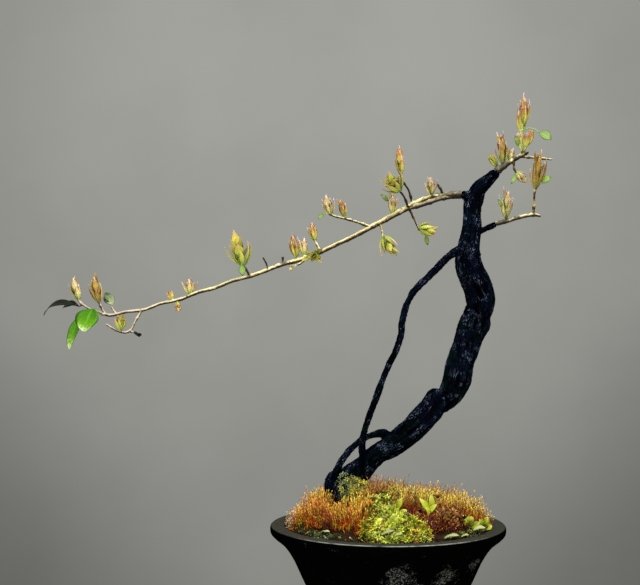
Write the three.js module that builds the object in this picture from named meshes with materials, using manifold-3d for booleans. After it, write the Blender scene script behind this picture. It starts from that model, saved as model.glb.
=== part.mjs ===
// A cathay persimmon bonsai in its round flared pot: a black leaning trunk, one long branch to the left,
// young leafy shoots along the branches, moss cushions on the soil.
import * as THREE from 'three';
import { mergeVertices } from 'three/addons/utils/BufferGeometryUtils.js';
import Module from 'manifold-3d';

const wasm = await Module();
wasm.setup();

// Driving dimensions in millimetres. +X is to the right in the front view, -Y faces the viewer, +Z is up.
// The origin is the middle of the pot's flat underside.
const RIM_RADIUS = 105;
const POT_HEIGHT = 140;
const BASE_RADIUS = 50;
const WALL = 7;
const POT_SIDES = 40;
const SOIL_SIDES = 26;
const FLOOR = 10;
const MOUTH_RADIUS = 92;
const LIP_DEPTH = 6;
const DRAIN_COUNT = 3;
const DRAIN_RADIUS = 7;
const DRAIN_CIRCLE = 25;
const GROOVE_DEPTH = 3;
const GROOVE_WIDTH = 6;
const SCREEN_SIZE = 25;
const SCREEN_THICKNESS = 1;
const SCREEN_OPENING = 5;
const SCREEN_PITCH = 7;
const SOIL_EDGE = 137;
const SOIL_TOP = 159;
const SEAT_GAP = 0.3;
const HOLE_GAP = 0.35;
const LEAF_THICKNESS = 1;
const LARGE_LEAF = 8;
const LEAF_ARCH = 0.07;
const LEAF_FOLD = 0.14;
const LEAF_FACE = [0, -0.8, 0.6];
const STALK_RADIUS = 0.75;
const STEM_RADIUS = 1.25;

// Outer wall of the pot, [radius, height], from the foot to just under the lip.
const POT_WALL = [
  [BASE_RADIUS, 0], [53, 20], [58, 45], [65, 68], [75.4, 91], [85.4, 112], [93, 123], [101.4, 130.2],
];

// Wood runs are [x, y, z, radius] along the middle of the wood, from the older end to the younger.
const TRUNK_LOWER = [
  [-37, 2, 136, 6], [-38, 2, 150, 11], [-39, 2, 168, 13.4], [-32, 0, 180, 12.5], [-21, -2, 192, 9.8],
  [-9, -4, 204, 8.9], [9, -7, 215, 10.4], [25, -10, 229, 11], [38, -11, 243, 11.6], [43, -11, 254, 10.2],
];
const TRUNK_MIDDLE = [
  [50, -8, 246, 8], [56, -6, 257, 11], [62, -3, 271, 12.9], [66, 2, 287, 11.9], [72, 6, 304, 12.6],
  [78, 8, 320, 13.5], [81, 8, 332, 10.5],
];
const TRUNK_UPPER = [
  [82, 7, 322, 9], [84, 6, 340, 13], [78, 3, 358, 13], [72, 0, 374, 11.6], [72, -2, 388, 9.8],
  [74, -2, 403, 8.5], [75, -1, 417, 7.6], [77, 0, 430, 7.9], [82, 0, 440, 6.7], [90, -1, 447, 5.5],
  [97, -2, 455, 4.1],
];
const THIN_STEM = [
  [74, 0, 396, 3], [71, 0, 388, 4.5], [62, -2, 384, 3.9], [52, -4, 378, 3.5], [43, -6, 368, 3.3],
  [33, -8, 358, 3.1], [23, -10, 348, 3.1], [16, -12, 335, 2.9], [12, -13, 321, 2.9], [11, -13, 310, 2.9],
  [7, -14, 298, 2.8], [0, -15, 282, 2.8], [-7, -16, 266, 2.8], [-12, -17, 251, 2.8], [-18, -17, 236, 2.8],
  [-22, -17, 222, 2.9], [-23, -15, 208, 3], [-23, -12, 194, 3.5], [-27, -7, 177, 4.6],
];
const SIDE_ROOT = [
  [9, -7, 215, 2.6], [-4, -8, 222, 4.1], [-12, -8, 221, 2.9], [-21, -7, 218, 2.8], [-29, -6, 212, 2.8],
  [-36, -5, 204, 2.8], [-42, -4, 195, 2.9], [-46, -3, 186, 3.4], [-46, -1, 172, 5],
];
const BASE_LUMPS = [
  [[-45, 1, 186, 7], [-45.5, 2, 176, 11], [-45, 2, 162, 12], [-43, 2, 148, 9], [-40, 2, 136, 5]],
  [[-31, -1, 184, 9.5], [-31, -2, 173, 12.8], [-31, -1, 160, 13], [-33, 0, 147, 9], [-35, 1, 136, 5]],
];
const ROOTS = [
  [[-38, 2, 146, 5], [-52, -10, 132, 3.4], [-68, -22, 118, 1.4]],
  [[-36, 2, 146, 5], [-20, -14, 130, 3.2], [-4, -28, 114, 1.3]],
  [[-36, 4, 146, 5], [-16, 16, 128, 3.2], [2, 26, 112, 1.3]],
  [[-38, 4, 146, 5], [-50, 18, 128, 3], [-58, 32, 110, 1.2]],
];
const BRANCH_KNOB = [[78, 0, 430, 5], [71, -1, 433, 4.6], [66, -1, 434, 3.9]];
const RIGHT_STUB = [[76, -1, 400, 4], [83, -2, 402, 3.1], [90, -3, 405, 2.8], [96, -4, 408, 2.3]];

const LONG_BRANCH = [
  [65.6, -1.1, 434.1, 3.8], [57, -2, 434, 3.4], [49, -3, 433, 2.9], [38, -5, 432, 2.5], [28, -6, 428, 2.5],
  [17, -7, 422, 2.7], [2, -8, 414, 2.4], [-15, -9, 405, 2.2], [-32, -10, 396, 2], [-47, -11, 389, 1.9],
  [-62, -12, 382, 1.9], [-78, -13, 376, 1.9], [-93, -15, 372, 1.9], [-109, -16, 366, 1.8],
  [-123, -17, 361, 1.7], [-138, -18, 357, 1.6], [-153, -19, 351, 1.6], [-168, -20, 347, 1.5],
  [-183, -21, 341, 1.5], [-201, -22, 337, 1.4], [-214, -22, 332, 1.4], [-230, -23, 330, 1.3],
  [-245, -23, 327, 1.3], [-254, -24, 330, 1.2],
];
const LOWER_STRAND = [
  [57, -3, 432, 1.6], [46, -6, 430, 1.8], [37, -8, 427, 1.9], [28, -9, 424, 1.8], [18, -8, 421.5, 1.4],
];
const CROWN_BRANCH = [
  [97.3, -2.1, 455.3, 4], [102, -2.5, 458.5, 2.8], [107, -3, 462, 2.3], [115, -4, 467, 2],
  [124, -5, 472, 1.8],
];
const CROWN_TWIG = [[117, -4, 468, 1.3], [129, -6, 467, 1.2], [145, -9, 465, 0.9]];
const RIGHT_BRANCH = [
  [96.4, -4.1, 408.2, 2.2], [107, -5, 411, 2], [117, -6, 414, 1.8], [129, -7, 416, 1.7],
  [135, -7, 415, 1.2],
];
const BARE_TWIGS = [
  [[49, -3, 433, 1.6], [47, -5, 439, 1.1], [44, -6, 443, 1.3]],
  [[-93, -15, 371.5, 1.4], [-93.3, -15, 374.5, 0.9], [-93.3, -15, 378, 1.2]],
  [[-106, -16, 366.5, 1], [-108, -18, 373, 0.7], [-110.5, -19, 377.5, 1]],
  [[-217, -22, 331, 1.2], [-222, -25, 322, 1], [-226, -27, 314, 1], [-231, -28, 312, 1],
    [-238, -28, 314, 1], [-247, -27, 319, 0.9]],
];

// Leafy shoots. Each has the twig that carries it, the tip of its tallest leaf, how many leaves stand round
// its stem, how wide a leaf is, how far the leaves lean out (radians) and its colour. `more` lists single
// leaves on stalks of their own: stalk points, leaf tip, leaf width. `firstLeaf` is how far up they begin.
const PALE_PINK = 0xd8b48c;
const AMBER = 0xc98a3a;
const LIME = 0xb4bd3c;
const GREEN = 0x5f9a2c;
const DARK_GREEN = 0x2f4a25;
const SHOOTS = {
  long: [
    { name: 'shoot_pink', twig: [[38.5, -5, 432, 1.7], [38.5, -5.5, 436.5, 1.2]], tip: [37, -9, 449],
      leaves: 6, width: 4.2, lean: 0.42, colour: PALE_PINK },
    { name: 'shoot_spire', tip: [9, -14, 474], leaves: 5, width: 4.4, lean: 0.2, colour: AMBER,
      twig: [[22, -6, 425, 1.3], [18, -8, 438, 1], [12, -11, 447, 0.9], [11, -12, 453, 1]] },
    { name: 'shoot_crest', tip: [-3, -26, 449], leaves: 6, width: 7, lean: 0.75, colour: LIME,
      twig: [[18, -8, 422, 1.3], [14, -14, 431, 1], [9, -20, 437, 1]] },
    { name: 'shoot_stalks', tip: [3, -5, 435], leaves: 5, width: 3.4, lean: 0.28, colour: PALE_PINK,
      twig: [[4, -8, 415, 1.6], [4.5, -7.5, 419.5, 1.1]],
      more: [{ stalk: [[4, -7, 422], [0, -8, 428]], tip: [-7, -9, 434], width: 5 }] },
    { name: 'shoot_hang_right', tip: [43, 2, 402], leaves: 6, width: 5, lean: 0.65, colour: LIME,
      twig: [[19, -6, 421, 1.3], [24, -4, 411, 0.9], [28, -2, 402.5, 0.9]],
      more: [{ stalk: [[31, -1.3, 401.8], [34, -2, 397]], tip: [35.5, -2, 389], width: 4 }] },
    { name: 'shoot_hang_left', tip: [5, -17, 381.5], leaves: 6, width: 4.6, lean: 0.6, colour: LIME,
      twig: [[-7, -9, 408, 1.3], [-5.5, -11, 401, 0.8], [-4.6, -13, 395, 0.9]] },
    { name: 'shoot_fork_right', tip: [-43, -17, 428], leaves: 6, width: 4.4, lean: 0.4, colour: AMBER,
      twig: [[-38, -16, 412, 1.2], [-39, -16.5, 416, 1]] },
    { name: 'shoot_fork_left', tip: [-56, -22, 432], leaves: 5, width: 4.2, lean: 0.38, colour: PALE_PINK,
      twig: [[-15, -9, 405, 1.5], [-27, -12, 409, 1.1], [-38, -16, 412, 1.1], [-47, -19, 414, 1],
        [-53, -20, 416, 1]],
      more: [{ stalk: [[-54, -20, 417], [-58, -21, 416]], tip: [-62, -22, 411], width: 4 }] },
    { name: 'shoot_flame_high', tip: [-68, -6, 408], leaves: 5, width: 4.2, lean: 0.34, colour: AMBER,
      twig: [[-60, -12, 383, 1.3], [-64, -9, 391, 0.9], [-66, -8, 395, 1]] },
    { name: 'shoot_flame_left', tip: [-85, -16, 398], leaves: 5, width: 4.4, lean: 0.24, colour: AMBER,
      twig: [[-80, -13, 375.5, 1.6], [-82, -13, 379.5, 1.1]] },
    { name: 'shoot_flame_right', tip: [-75, -8, 395], leaves: 5, width: 4, lean: 0.3, colour: PALE_PINK,
      twig: [[-74, -13, 377.5, 1.6], [-74.5, -12, 382, 1]] },
    { name: 'shoot_rosette', tip: [-66, -27, 378], leaves: 7, width: 4.6, lean: 0.95, colour: LIME,
      twig: [[-66, -12, 380.5, 1.6], [-66, -17, 380, 1.1]] },
    { name: 'shoot_low_bud', tip: [-88, -16, 367], leaves: 3, width: 3.2, lean: 0.4, colour: PALE_PINK,
      twig: [[-73, -13, 377, 1.3], [-78, -14, 372.5, 0.8], [-81, -14.5, 371.3, 0.8]] },
    { name: 'shoot_cone', tip: [-134, -24, 395], leaves: 8, width: 5.4, lean: 0.42, colour: LIME,
      twig: [[-122, -17, 361.5, 1.4], [-126, -19, 368, 1], [-129.5, -20, 371.5, 1.1]],
      more: [{ stalk: [[-130.5, -21, 374], [-129, -24.5, 371]], tip: [-128, -27, 361.5], width: 6 }] },
    { name: 'shoot_cup', tip: [-176, -19, 359], leaves: 5, width: 4.4, lean: 0.5, colour: LIME,
      twig: [[-175, -20.5, 344, 1.4], [-175, -20.5, 348, 1]] },
    { name: 'shoot_amber_up', tip: [-193, -20, 348], leaves: 4, width: 4, lean: 0.45, colour: AMBER,
      twig: [[-190, -21.5, 339.5, 1.4], [-191, -21.5, 343, 0.9]] },
    { name: 'shoot_amber_down', tip: [-184, -25, 331], leaves: 3, width: 3.4, lean: 0.4, colour: AMBER,
      twig: [[-186, -21, 340.5, 1.3], [-185.5, -22.5, 337, 0.8]] },
    { name: 'shoot_tip_cup', tip: [-234.5, -30, 327], leaves: 5, width: 4.2, lean: 0.5, colour: LIME,
      twig: [[-234, -28, 312.5, 1.1], [-234, -28, 316, 0.9]] },
    { name: 'shoot_tip_low', tip: [-216, -26, 310], leaves: 2, width: 4, lean: 0.3, colour: DARK_GREEN,
      twig: [[-227, -27.5, 313, 0.9], [-223.5, -27, 312.3, 0.8]] },
    { name: 'shoot_tip_orange', tip: [-258, -28, 361], leaves: 5, width: 4.6, lean: 0.3, colour: AMBER,
      twig: [[-249, -23.5, 328.5, 1.2], [-253, -25, 336, 0.9], [-254.5, -26, 340, 1]] },
    { name: 'shoot_tip_pale', tip: [-278, -16, 360], leaves: 5, width: 4.2, lean: 0.28, colour: PALE_PINK,
      twig: [[-252, -24, 329, 1.2], [-263, -22, 333, 1.1], [-271, -19, 338, 1], [-274, -18, 342, 1]] },
    { name: 'leaf_grey', tip: [-250, -16, 347], leaves: 1, width: 7, lean: 0, colour: DARK_GREEN,
      twig: [[-239, -23, 328.5, 1], [-243, -20, 333, 0.7], [-244.5, -19, 337, 0.7]] },
  ],
  crown: [
    { name: 'shoot_crown_leader', tip: [121, -6, 525], leaves: 5, width: 5, lean: 0.16, colour: AMBER,
      twig: [[119, -4.5, 469.5, 1.7], [120, -5, 473.5, 1.4]],
      stem: [[120.4, -5.2, 475.4, 1.5], [118.5, -5.5, 480, 1.5], [118.5, -6, 490, 1.3], [120, -6, 499, 0.8]],
      firstLeaf: 0.42,
      more: [
        { stalk: [[119, -6, 489], [123, -7, 492.5], [129, -9, 492], [134, -11, 488.5]],
          tip: [144, -13, 482], width: 9 },
        { stalk: [[120, -5.2, 475.3], [116, -7, 478]], tip: [113, -10, 487], width: 4.4 },
        { stalk: [[120.2, -5.3, 475.8], [121, -9, 478]], tip: [121, -13, 488], width: 4.4 },
        { stalk: [[120.3, -5.1, 475.3], [123.5, -4, 478]], tip: [127, -3, 487], width: 4.2 },
      ] },
    { name: 'shoot_crown_left', tip: [100, -6, 487], leaves: 7, width: 4.8, lean: 0.3, colour: AMBER,
      twig: [[103, -2.5, 459.5, 2], [102.5, -3.5, 464, 1.4]] },
    { name: 'shoot_crown_low', tip: [91, 2, 470], leaves: 4, width: 4, lean: 0.42, colour: LIME,
      twig: [[99, -2.5, 457, 1.8], [96.5, -0.5, 461.5, 1]] },
    { name: 'shoot_crown_red', tip: [112, 3, 475.5], leaves: 4, width: 3.8, lean: 0.4, colour: PALE_PINK,
      twig: [[108.5, -3, 463, 1.7], [109.5, -1, 467, 1]] },
    { name: 'shoot_crown_under', tip: [125, 0, 446], leaves: 4, width: 4.2, lean: 0.5, colour: PALE_PINK,
      twig: [[112, -4, 465, 1.4], [112.5, -4, 457, 0.9], [115, -3, 452.5, 0.9]],
      more: [{ stalk: [[116, -3, 451.5], [114, -6, 452]], tip: [109, -9, 443], width: 4 }] },
  ],
  right: [
    { name: 'shoot_right_gold', tip: [132, -16, 470], leaves: 7, width: 4.8, lean: 0.3, colour: AMBER,
      twig: [[129, -7, 415.5, 1.5], [129.5, -8, 428, 1.1], [130, -9, 437, 1], [131.5, -9, 440.5, 1.1]],
      more: [{ stalk: [[132, -10, 444], [136, -12, 444]], tip: [144, -15, 449], width: 7.5 }] },
    { name: 'shoot_right_pink', tip: [106, -3, 438], leaves: 6, width: 4.6, lean: 0.38, colour: PALE_PINK,
      twig: [[105, -5, 410.5, 1.8], [105.3, -5, 415.5, 1.2]],
      more: [{ stalk: [[105.2, -5.2, 418], [101, -8, 423]], tip: [97, -9, 430], width: 4 }] },
  ],
};

// Large leaves at the far end: the twig that carries the leaf, its stalk, leaf tip, width, the way its upper
// face looks and how far it arches.
const LARGE_LEAVES = [
  { name: 'leaf_broad', colour: GREEN,
    twig: [[-248, -23.5, 328, 1], [-251, -27, 327.5, 0.9]],
    leaves: [{ stalk: [[-251.5, -27.6, 327.5], [-256, -31, 331], [-258.5, -32, 333.5]],
      tip: [-266, -38, 311], width: 19, face: [-0.1, -1, 0.25], arch: 0.06, wave: 0.8 }] },
  { name: 'leaf_hanging', colour: GREEN,
    twig: [[-262, -22, 332.7, 1], [-266, -20.5, 329.5, 0.8]],
    leaves: [{ stalk: [[-266.6, -20.3, 329], [-270, -20, 326.5]], tip: [-280, -25, 297],
      width: 9, face: [-0.5, -0.85, 0.2], arch: 0.1, wave: 0.4 }] },
  { name: 'leaf_dark', colour: DARK_GREEN,
    twig: [[-269, -19.7, 336.5, 0.9], [-272.5, -17, 335, 0.8]],
    leaves: [
      { stalk: [[-273, -16.6, 334.9], [-276, -14, 335.5]], tip: [-308, 3, 326], width: 9,
        face: [-0.1, 0.25, 1], arch: 0.14, wave: 0.3 },
      { stalk: [[-273.6, -16.2, 335.2], [-276, -12, 337]], tip: [-290, -2, 333], width: 6,
        face: [-0.2, 0.1, 1], arch: 0.12, wave: 0.2 },
    ] },
];

// Moss cushions: middle of each on the soil [x, y], stalk height, colour.
const MOSS = [
  { name: 'moss_left', at: [-72, -14], stalk: 12, colour: 0xa65a24 },
  { name: 'moss_front_left', at: [-50, -56], stalk: 11, colour: 0xb5602a },
  { name: 'moss_rust', at: [-22, -34], stalk: 13, colour: 0xa04c22 },
  { name: 'moss_lime', at: [6, -74], stalk: 3.5, colour: 0xa3ad33 },
  { name: 'moss_gold', at: [22, -26], stalk: 12, colour: 0xc08a2c },
  { name: 'moss_maroon', at: [44, -50], stalk: 6, colour: 0x6e2a1c },
  { name: 'moss_right', at: [70, -14], stalk: 11, colour: 0xc9902e },
  { name: 'moss_back_right', at: [46, 40], stalk: 12, colour: 0xb0662c },
  { name: 'moss_back', at: [-4, 52], stalk: 13, colour: 0xa86a30 },
  { name: 'moss_back_left', at: [-56, 46], stalk: 12, colour: 0x9c5528 },
];
const BASE_MOSS = { at: [-33, -6, 172.5], size: [15, 14, 14.5] };
const MOSS_SIDES = 20;
const MOSS_RINGS = 5;
const MOSS_CUSHION = 3.5;
const MOSS_LEAN = 4;
const MOSS_LIFT = 0.55;
const PLANTLET_LEAF = 6;

// Small leafy plants in the moss: where each stands, how wide its clearing is, leaf count and leaf length.
const PLANTLETS = [
  { name: 'plantlet_front', at: [4, -50], clearing: 9, leaves: 6, length: 13, colour: 0x9fbe2a },
  { name: 'plantlet_middle', at: [37, -8], clearing: 8, leaves: 6, length: 13, colour: 0xa9c136 },
  { name: 'plantlet_right', at: [68, -44], clearing: 8, leaves: 5, length: 11, colour: 0xb9c447 },
];

// How finely each kind of piece is divided: sides round it and the length of a step along it.
const TRUNK_NET = { sides: 11, step: 10, relief: 0.05 };
const LUMP_NET = { sides: 9, step: 12, relief: 0.06 };
const ROOT_NET = { sides: 5, step: 30 };
const STRAND_NET = { sides: 6, step: 13, relief: 0.04 };
const BRANCH_NET = { sides: 7, step: 12, relief: 0.05 };
const TWIG_NET = { sides: 4, step: 17 };
const STEM_NET = { sides: 4, step: 50 };
const GOLDEN_ANGLE = Math.PI * (3 - Math.sqrt(5));

const vector = (list) => new THREE.Vector3(list[0], list[1], list[2]);
const UP = new THREE.Vector3(0, 0, 1);
const TO_VIEWER = new THREE.Vector3(0, -1, 0);

function seededRandom(seed) {
  let state = seed;
  return () => {
    state = (state * 1664525 + 1013904223) % 4294967296;
    return state / 4294967296;
  };
}

function geometryOf(coordinates, index) {
  const geometry = new THREE.BufferGeometry();
  geometry.setAttribute('position', new THREE.Float32BufferAttribute(coordinates, 3));
  geometry.setIndex(index);
  return geometry;
}

// Closed skin over rings of points that run counter-clockwise about the way they travel. `turned` says which
// of its four-sided faces are split the other way.
function skin(rings, firstPole, lastPole, turned = () => false) {
  const sides = rings[0].length;
  const points = [firstPole, ...rings.flat(), lastPole];
  const last = points.length - 1;
  const at = (ring, side) => 1 + ring * sides + (side % sides);
  const index = [];
  for (let side = 0; side < sides; side += 1) {
    index.push(0, at(0, side + 1), at(0, side));
    index.push(last, at(rings.length - 1, side), at(rings.length - 1, side + 1));
  }
  for (let ring = 0; ring < rings.length - 1; ring += 1) {
    for (let side = 0; side < sides; side += 1) {
      const a = at(ring, side);
      const b = at(ring, side + 1);
      const c = at(ring + 1, side + 1);
      const d = at(ring + 1, side);
      if (turned(ring, side)) {
        index.push(a, b, d, b, c, d);
      } else {
        index.push(a, b, c, a, c, d);
      }
    }
  }
  return geometryOf(points.flatMap((p) => [p.x, p.y, p.z]), index);
}

// Joining and cutting of closed geometries.
function toSolid(geometry) {
  const plain = geometry.clone();
  plain.deleteAttribute('normal');
  plain.deleteAttribute('uv');
  const merged = mergeVertices(plain, 1e-4);
  const corners = [];
  for (let i = 0; i < merged.index.count; i += 3) {
    const [a, b, c] = [0, 1, 2].map((k) => merged.index.getX(i + k));
    if (a !== b && b !== c && c !== a) {
      corners.push(a, b, c);
    }
  }
  return new wasm.Manifold(new wasm.Mesh({
    numProp: 3,
    vertProperties: new Float32Array(merged.attributes.position.array),
    triVerts: new Uint32Array(corners),
  }));
}

function toGeometry(solid) {
  const mesh = solid.getMesh();
  return geometryOf(Array.from(mesh.vertProperties), Array.from(mesh.triVerts));
}

const join = (pieces) => toGeometry(pieces.map(toSolid).reduce((sum, next) => sum.add(next)));
const cut = (body, tools) => toGeometry(
  tools.map(toSolid).reduce((rest, tool) => rest.subtract(tool), toSolid(body)),
);

// The largest connected body of a geometry, without the scraps that a cut can leave.
function largestBody(geometry) {
  const count = geometry.attributes.position.count;
  const parent = Array.from({ length: count }, (_, i) => i);
  const find = (i) => {
    let top = i;
    while (parent[top] !== top) {
      top = parent[top];
    }
    parent[i] = top;
    return top;
  };
  const index = geometry.index.array;
  for (let i = 0; i < index.length; i += 3) {
    parent[find(index[i + 1])] = find(index[i]);
    parent[find(index[i + 2])] = find(index[i]);
  }
  const faces = new Map();
  for (let i = 0; i < index.length; i += 3) {
    const body = find(index[i]);
    faces.set(body, [...(faces.get(body) || []), index[i], index[i + 1], index[i + 2]]);
  }
  const kept = [...faces.values()].reduce((best, next) => (next.length > best.length ? next : best));
  return geometryOf(geometry.attributes.position.array, kept);
}

// Bark relief: a factor on the radius that makes long strands that wind slowly round the wood.
function bark(angle, travelled, strength) {
  const strands = Math.sin(3 * angle + travelled * 0.05)
    + 0.7 * Math.sin(5 * angle - travelled * 0.07 + 1.3);
  const knots = Math.sin(travelled * 0.21 + 2 * Math.sin(angle + 0.6));
  return 1 + strength * (0.6 * strands + 0.5 * knots);
}

// A piece of wood along a smooth run of [x, y, z, radius] points. `grow` widens it all over, `first` and
// `last` set the way its end faces look, and a `round` wood ends in a dome.
function limb(run, { sides, step, relief = 0, grow = 0, first = null, last = null, round = false }) {
  const curve = new THREE.CatmullRomCurve3(run.map(vector), false, 'centripetal');
  const spots = [];
  for (let i = 0; i < run.length - 1; i += 1) {
    const parts = Math.max(1, Math.round(vector(run[i]).distanceTo(vector(run[i + 1])) / step));
    for (let part = 0; part < parts; part += 1) {
      const share = part / parts;
      spots.push({ place: i + share, radius: THREE.MathUtils.lerp(run[i][3], run[i + 1][3], share) });
    }
  }
  spots.push({ place: run.length - 1, radius: run[run.length - 1][3] });
  const centres = spots.map((spot) => curve.getPoint(spot.place / (run.length - 1)));
  const headings = spots.map((spot) => curve.getTangent(spot.place / (run.length - 1)).normalize());
  if (first) headings[0] = first.clone().normalize();
  if (last) headings[headings.length - 1] = last.clone().normalize();
  const normal = Math.abs(headings[0].y) > 0.9 ? UP.clone() : TO_VIEWER.clone();
  let travelled = 0;
  const rings = spots.map((spot, i) => {
    const heading = headings[i];
    normal.addScaledVector(heading, -normal.dot(heading)).normalize();
    const across = heading.clone().cross(normal);
    travelled += i ? centres[i].distanceTo(centres[i - 1]) : 0;
    return Array.from({ length: sides }, (_, side) => {
      const angle = (2 * Math.PI * side) / sides;
      const radius = spot.radius * bark(angle, travelled, relief) + grow;
      return centres[i].clone()
        .addScaledVector(normal, radius * Math.cos(angle))
        .addScaledVector(across, radius * Math.sin(angle));
    });
  });
  const end = spots.length - 1;
  const ends = [centres[0].clone().addScaledVector(headings[0], -grow), centres[end].clone()];
  if (round) {
    const dome = spots[end].radius * 0.75 + grow;
    const shoulder = headings[end].clone().multiplyScalar(dome * 0.7);
    ends[1].addScaledVector(headings[end], dome);
    rings.push(rings[end].map((p) => p.clone().lerp(centres[end], 0.3).add(shoulder)));
  } else {
    ends[1].addScaledVector(headings[end], grow);
  }
  return skin(rings, ends[0], ends[1]);
}

// A leaf blade from its foot to its tip, with sharp side edges and a ridge on its upper face. A large leaf
// has a ridge below too. `face` is where its upper face looks, `arch` bows it that way, `fold` lifts its
// edges and `wave` ripples them.
function blade({ foot, tip, face, width, arch = 0, fold = 0.1, wave = 0, widest = 0.5 }) {
  const large = width > LARGE_LEAF;
  const rows = large ? 6 : 2;
  const along = tip.clone().sub(foot);
  const length = along.length();
  const heading = along.clone().normalize();
  const up = face.clone().addScaledVector(heading, -face.dot(heading)).normalize();
  const side = up.clone().cross(heading);
  const shift = Math.log(0.5) / Math.log(widest);
  const rings = Array.from({ length: rows }, (_, row) => {
    const t = (row + 0.7) / (rows + 0.4);
    const half = (width / 2) * Math.sin(Math.PI * t ** shift) ** 0.8;
    const bow = arch * length * 4 * t * (1 - t);
    const centre = foot.clone().addScaledVector(along, t).addScaledVector(up, bow);
    const lift = (sign) => fold * half + wave * Math.sin(9 * t + sign);
    const ring = [
      centre.clone().addScaledVector(side, half).addScaledVector(up, lift(1)),
      centre.clone().addScaledVector(up, large ? LEAF_THICKNESS / 2 : LEAF_THICKNESS),
      centre.clone().addScaledVector(side, -half).addScaledVector(up, lift(-1)),
    ];
    return large ? [...ring, centre.clone().addScaledVector(up, -LEAF_THICKNESS / 2)] : ring;
  });
  return skin(rings, foot, tip, (ring, at) => at % 2 === 1);
}

// A single leaf: a thin stalk through its points, and a blade from the stalk's end to the leaf's tip.
function stalkedLeaf(leaf) {
  const [before, end] = leaf.stalk.slice(-2).map(vector);
  const inside = end.clone().sub(before).normalize().multiplyScalar(-STALK_RADIUS);
  return [
    limb(leaf.stalk.map((point) => [...point, STALK_RADIUS]), TWIG_NET),
    blade({
      foot: end.add(inside),
      tip: vector(leaf.tip),
      face: vector(leaf.face || LEAF_FACE),
      width: leaf.width,
      arch: leaf.arch || LEAF_ARCH,
      wave: leaf.wave || 0,
      fold: LEAF_FOLD,
    }),
  ];
}

// A leafy shoot on the end of its twig: a short stem with leaves wound round it by the golden angle. The
// lowest leaves are the shortest and lean out furthest, the last one ends at the shoot's tip.
function shoot(spec, seed) {
  const random = seededRandom(seed);
  const [beforeSeat, seat] = spec.twig.slice(-2).map(vector);
  const heading = seat.clone().sub(beforeSeat).normalize();
  const tip = vector(spec.tip);
  const low = seat.clone().addScaledVector(heading, SEAT_GAP);
  const stem = spec.stem || [
    [...low.clone().addScaledVector(heading, STEM_RADIUS).toArray(), STEM_RADIUS],
    [...low.clone().lerp(tip, 0.5).toArray(), STEM_RADIUS / 2],
  ];
  const top = vector(stem[stem.length - 1]);
  const start = low.clone().lerp(tip, spec.firstLeaf || 0.1);
  const axis = tip.clone().sub(start).normalize();
  const across = axis.clone().cross(Math.abs(axis.y) > 0.8 ? UP : TO_VIEWER).normalize();
  const length = tip.distanceTo(start);
  const pieces = [limb([[...low.toArray(), STEM_RADIUS / 2], ...stem], STEM_NET)];
  for (let leaf = 0; leaf < spec.leaves; leaf += 1) {
    const share = leaf / Math.max(1, spec.leaves - 1);
    const last = leaf === spec.leaves - 1;
    const out = across.clone().applyAxisAngle(axis, leaf * GOLDEN_ANGLE + random() * 0.3);
    const offset = last ? 0 : STEM_RADIUS * (0.6 - 0.3 * share);
    const foot = start.clone().lerp(top, 0.95 * share).addScaledVector(out, offset);
    const lean = spec.lean * (1 - 0.7 * share);
    const way = axis.clone().multiplyScalar(Math.cos(lean)).addScaledVector(out, Math.sin(lean));
    const reach = length * (0.6 + 0.2 * share) * (0.9 + 0.2 * random());
    pieces.push(blade({
      foot,
      tip: last ? tip : foot.clone().addScaledVector(way, reach),
      face: out.clone().negate(),
      width: spec.width * (0.85 + 0.3 * random()),
      arch: -LEAF_ARCH,
      widest: 0.55,
    }));
  }
  return largestBody(join([...pieces, ...(spec.more || []).flatMap(stalkedLeaf)]));
}

// The pot's wall as a smooth curve, and its radius at a height.
const wallCurve = new THREE.SplineCurve(POT_WALL.map(([r, z]) => new THREE.Vector2(r, z)));
const wallPoints = wallCurve.getPoints(9).map((p) => [p.x, p.y]);
function radiusOn(profile, height) {
  const above = Math.max(1, profile.findIndex((point) => point[1] >= height));
  const [low, high] = [profile[above - 1], profile[above]];
  return THREE.MathUtils.lerp(low[0], high[0], (height - low[1]) / (high[1] - low[1]));
}
const insidePoints = [
  ...[FLOOR, 45, 91, 121].map((z) => [radiusOn(wallPoints, z) - WALL, z]),
  [MOUTH_RADIUS, POT_HEIGHT],
];

// The filling keeps its gap to the pot's many flat sides, whose middles lie a little further in.
const fillRadius = (height) => radiusOn(insidePoints, height) * Math.cos(Math.PI / POT_SIDES) - SEAT_GAP;

// A profile [radius, height] turned about the pot's axis, which is upright.
function turned(profile, sides) {
  const lathe = new THREE.LatheGeometry(profile.map(([r, z]) => new THREE.Vector2(r, z)), sides);
  return lathe.rotateX(Math.PI / 2);
}

function pot() {
  const lipFoot = POT_HEIGHT - LIP_DEPTH;
  const body = turned([
    [0, 0],
    ...wallPoints,
    [RIM_RADIUS - 0.5, lipFoot], [RIM_RADIUS, lipFoot + 2.5], [RIM_RADIUS - 1, POT_HEIGHT],
    [MOUTH_RADIUS, POT_HEIGHT],
    ...insidePoints.slice(0, -1).reverse(),
    [0, FLOOR],
  ], POT_SIDES);
  const tools = [];
  for (let drain = 0; drain < DRAIN_COUNT; drain += 1) {
    const turn = (2 * Math.PI * drain) / DRAIN_COUNT;
    const hole = new THREE.CylinderGeometry(DRAIN_RADIUS, DRAIN_RADIUS, FLOOR * 3, 12).rotateX(Math.PI / 2);
    tools.push(hole.translate(DRAIN_CIRCLE, 0, 0).rotateZ(turn));
    const groove = new THREE.BoxGeometry(BASE_RADIUS, GROOVE_WIDTH, 2 * GROOVE_DEPTH);
    tools.push(groove.translate(DRAIN_CIRCLE + BASE_RADIUS / 2, 0, 0).rotateZ(turn));
  }
  return cut(body, tools);
}

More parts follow.
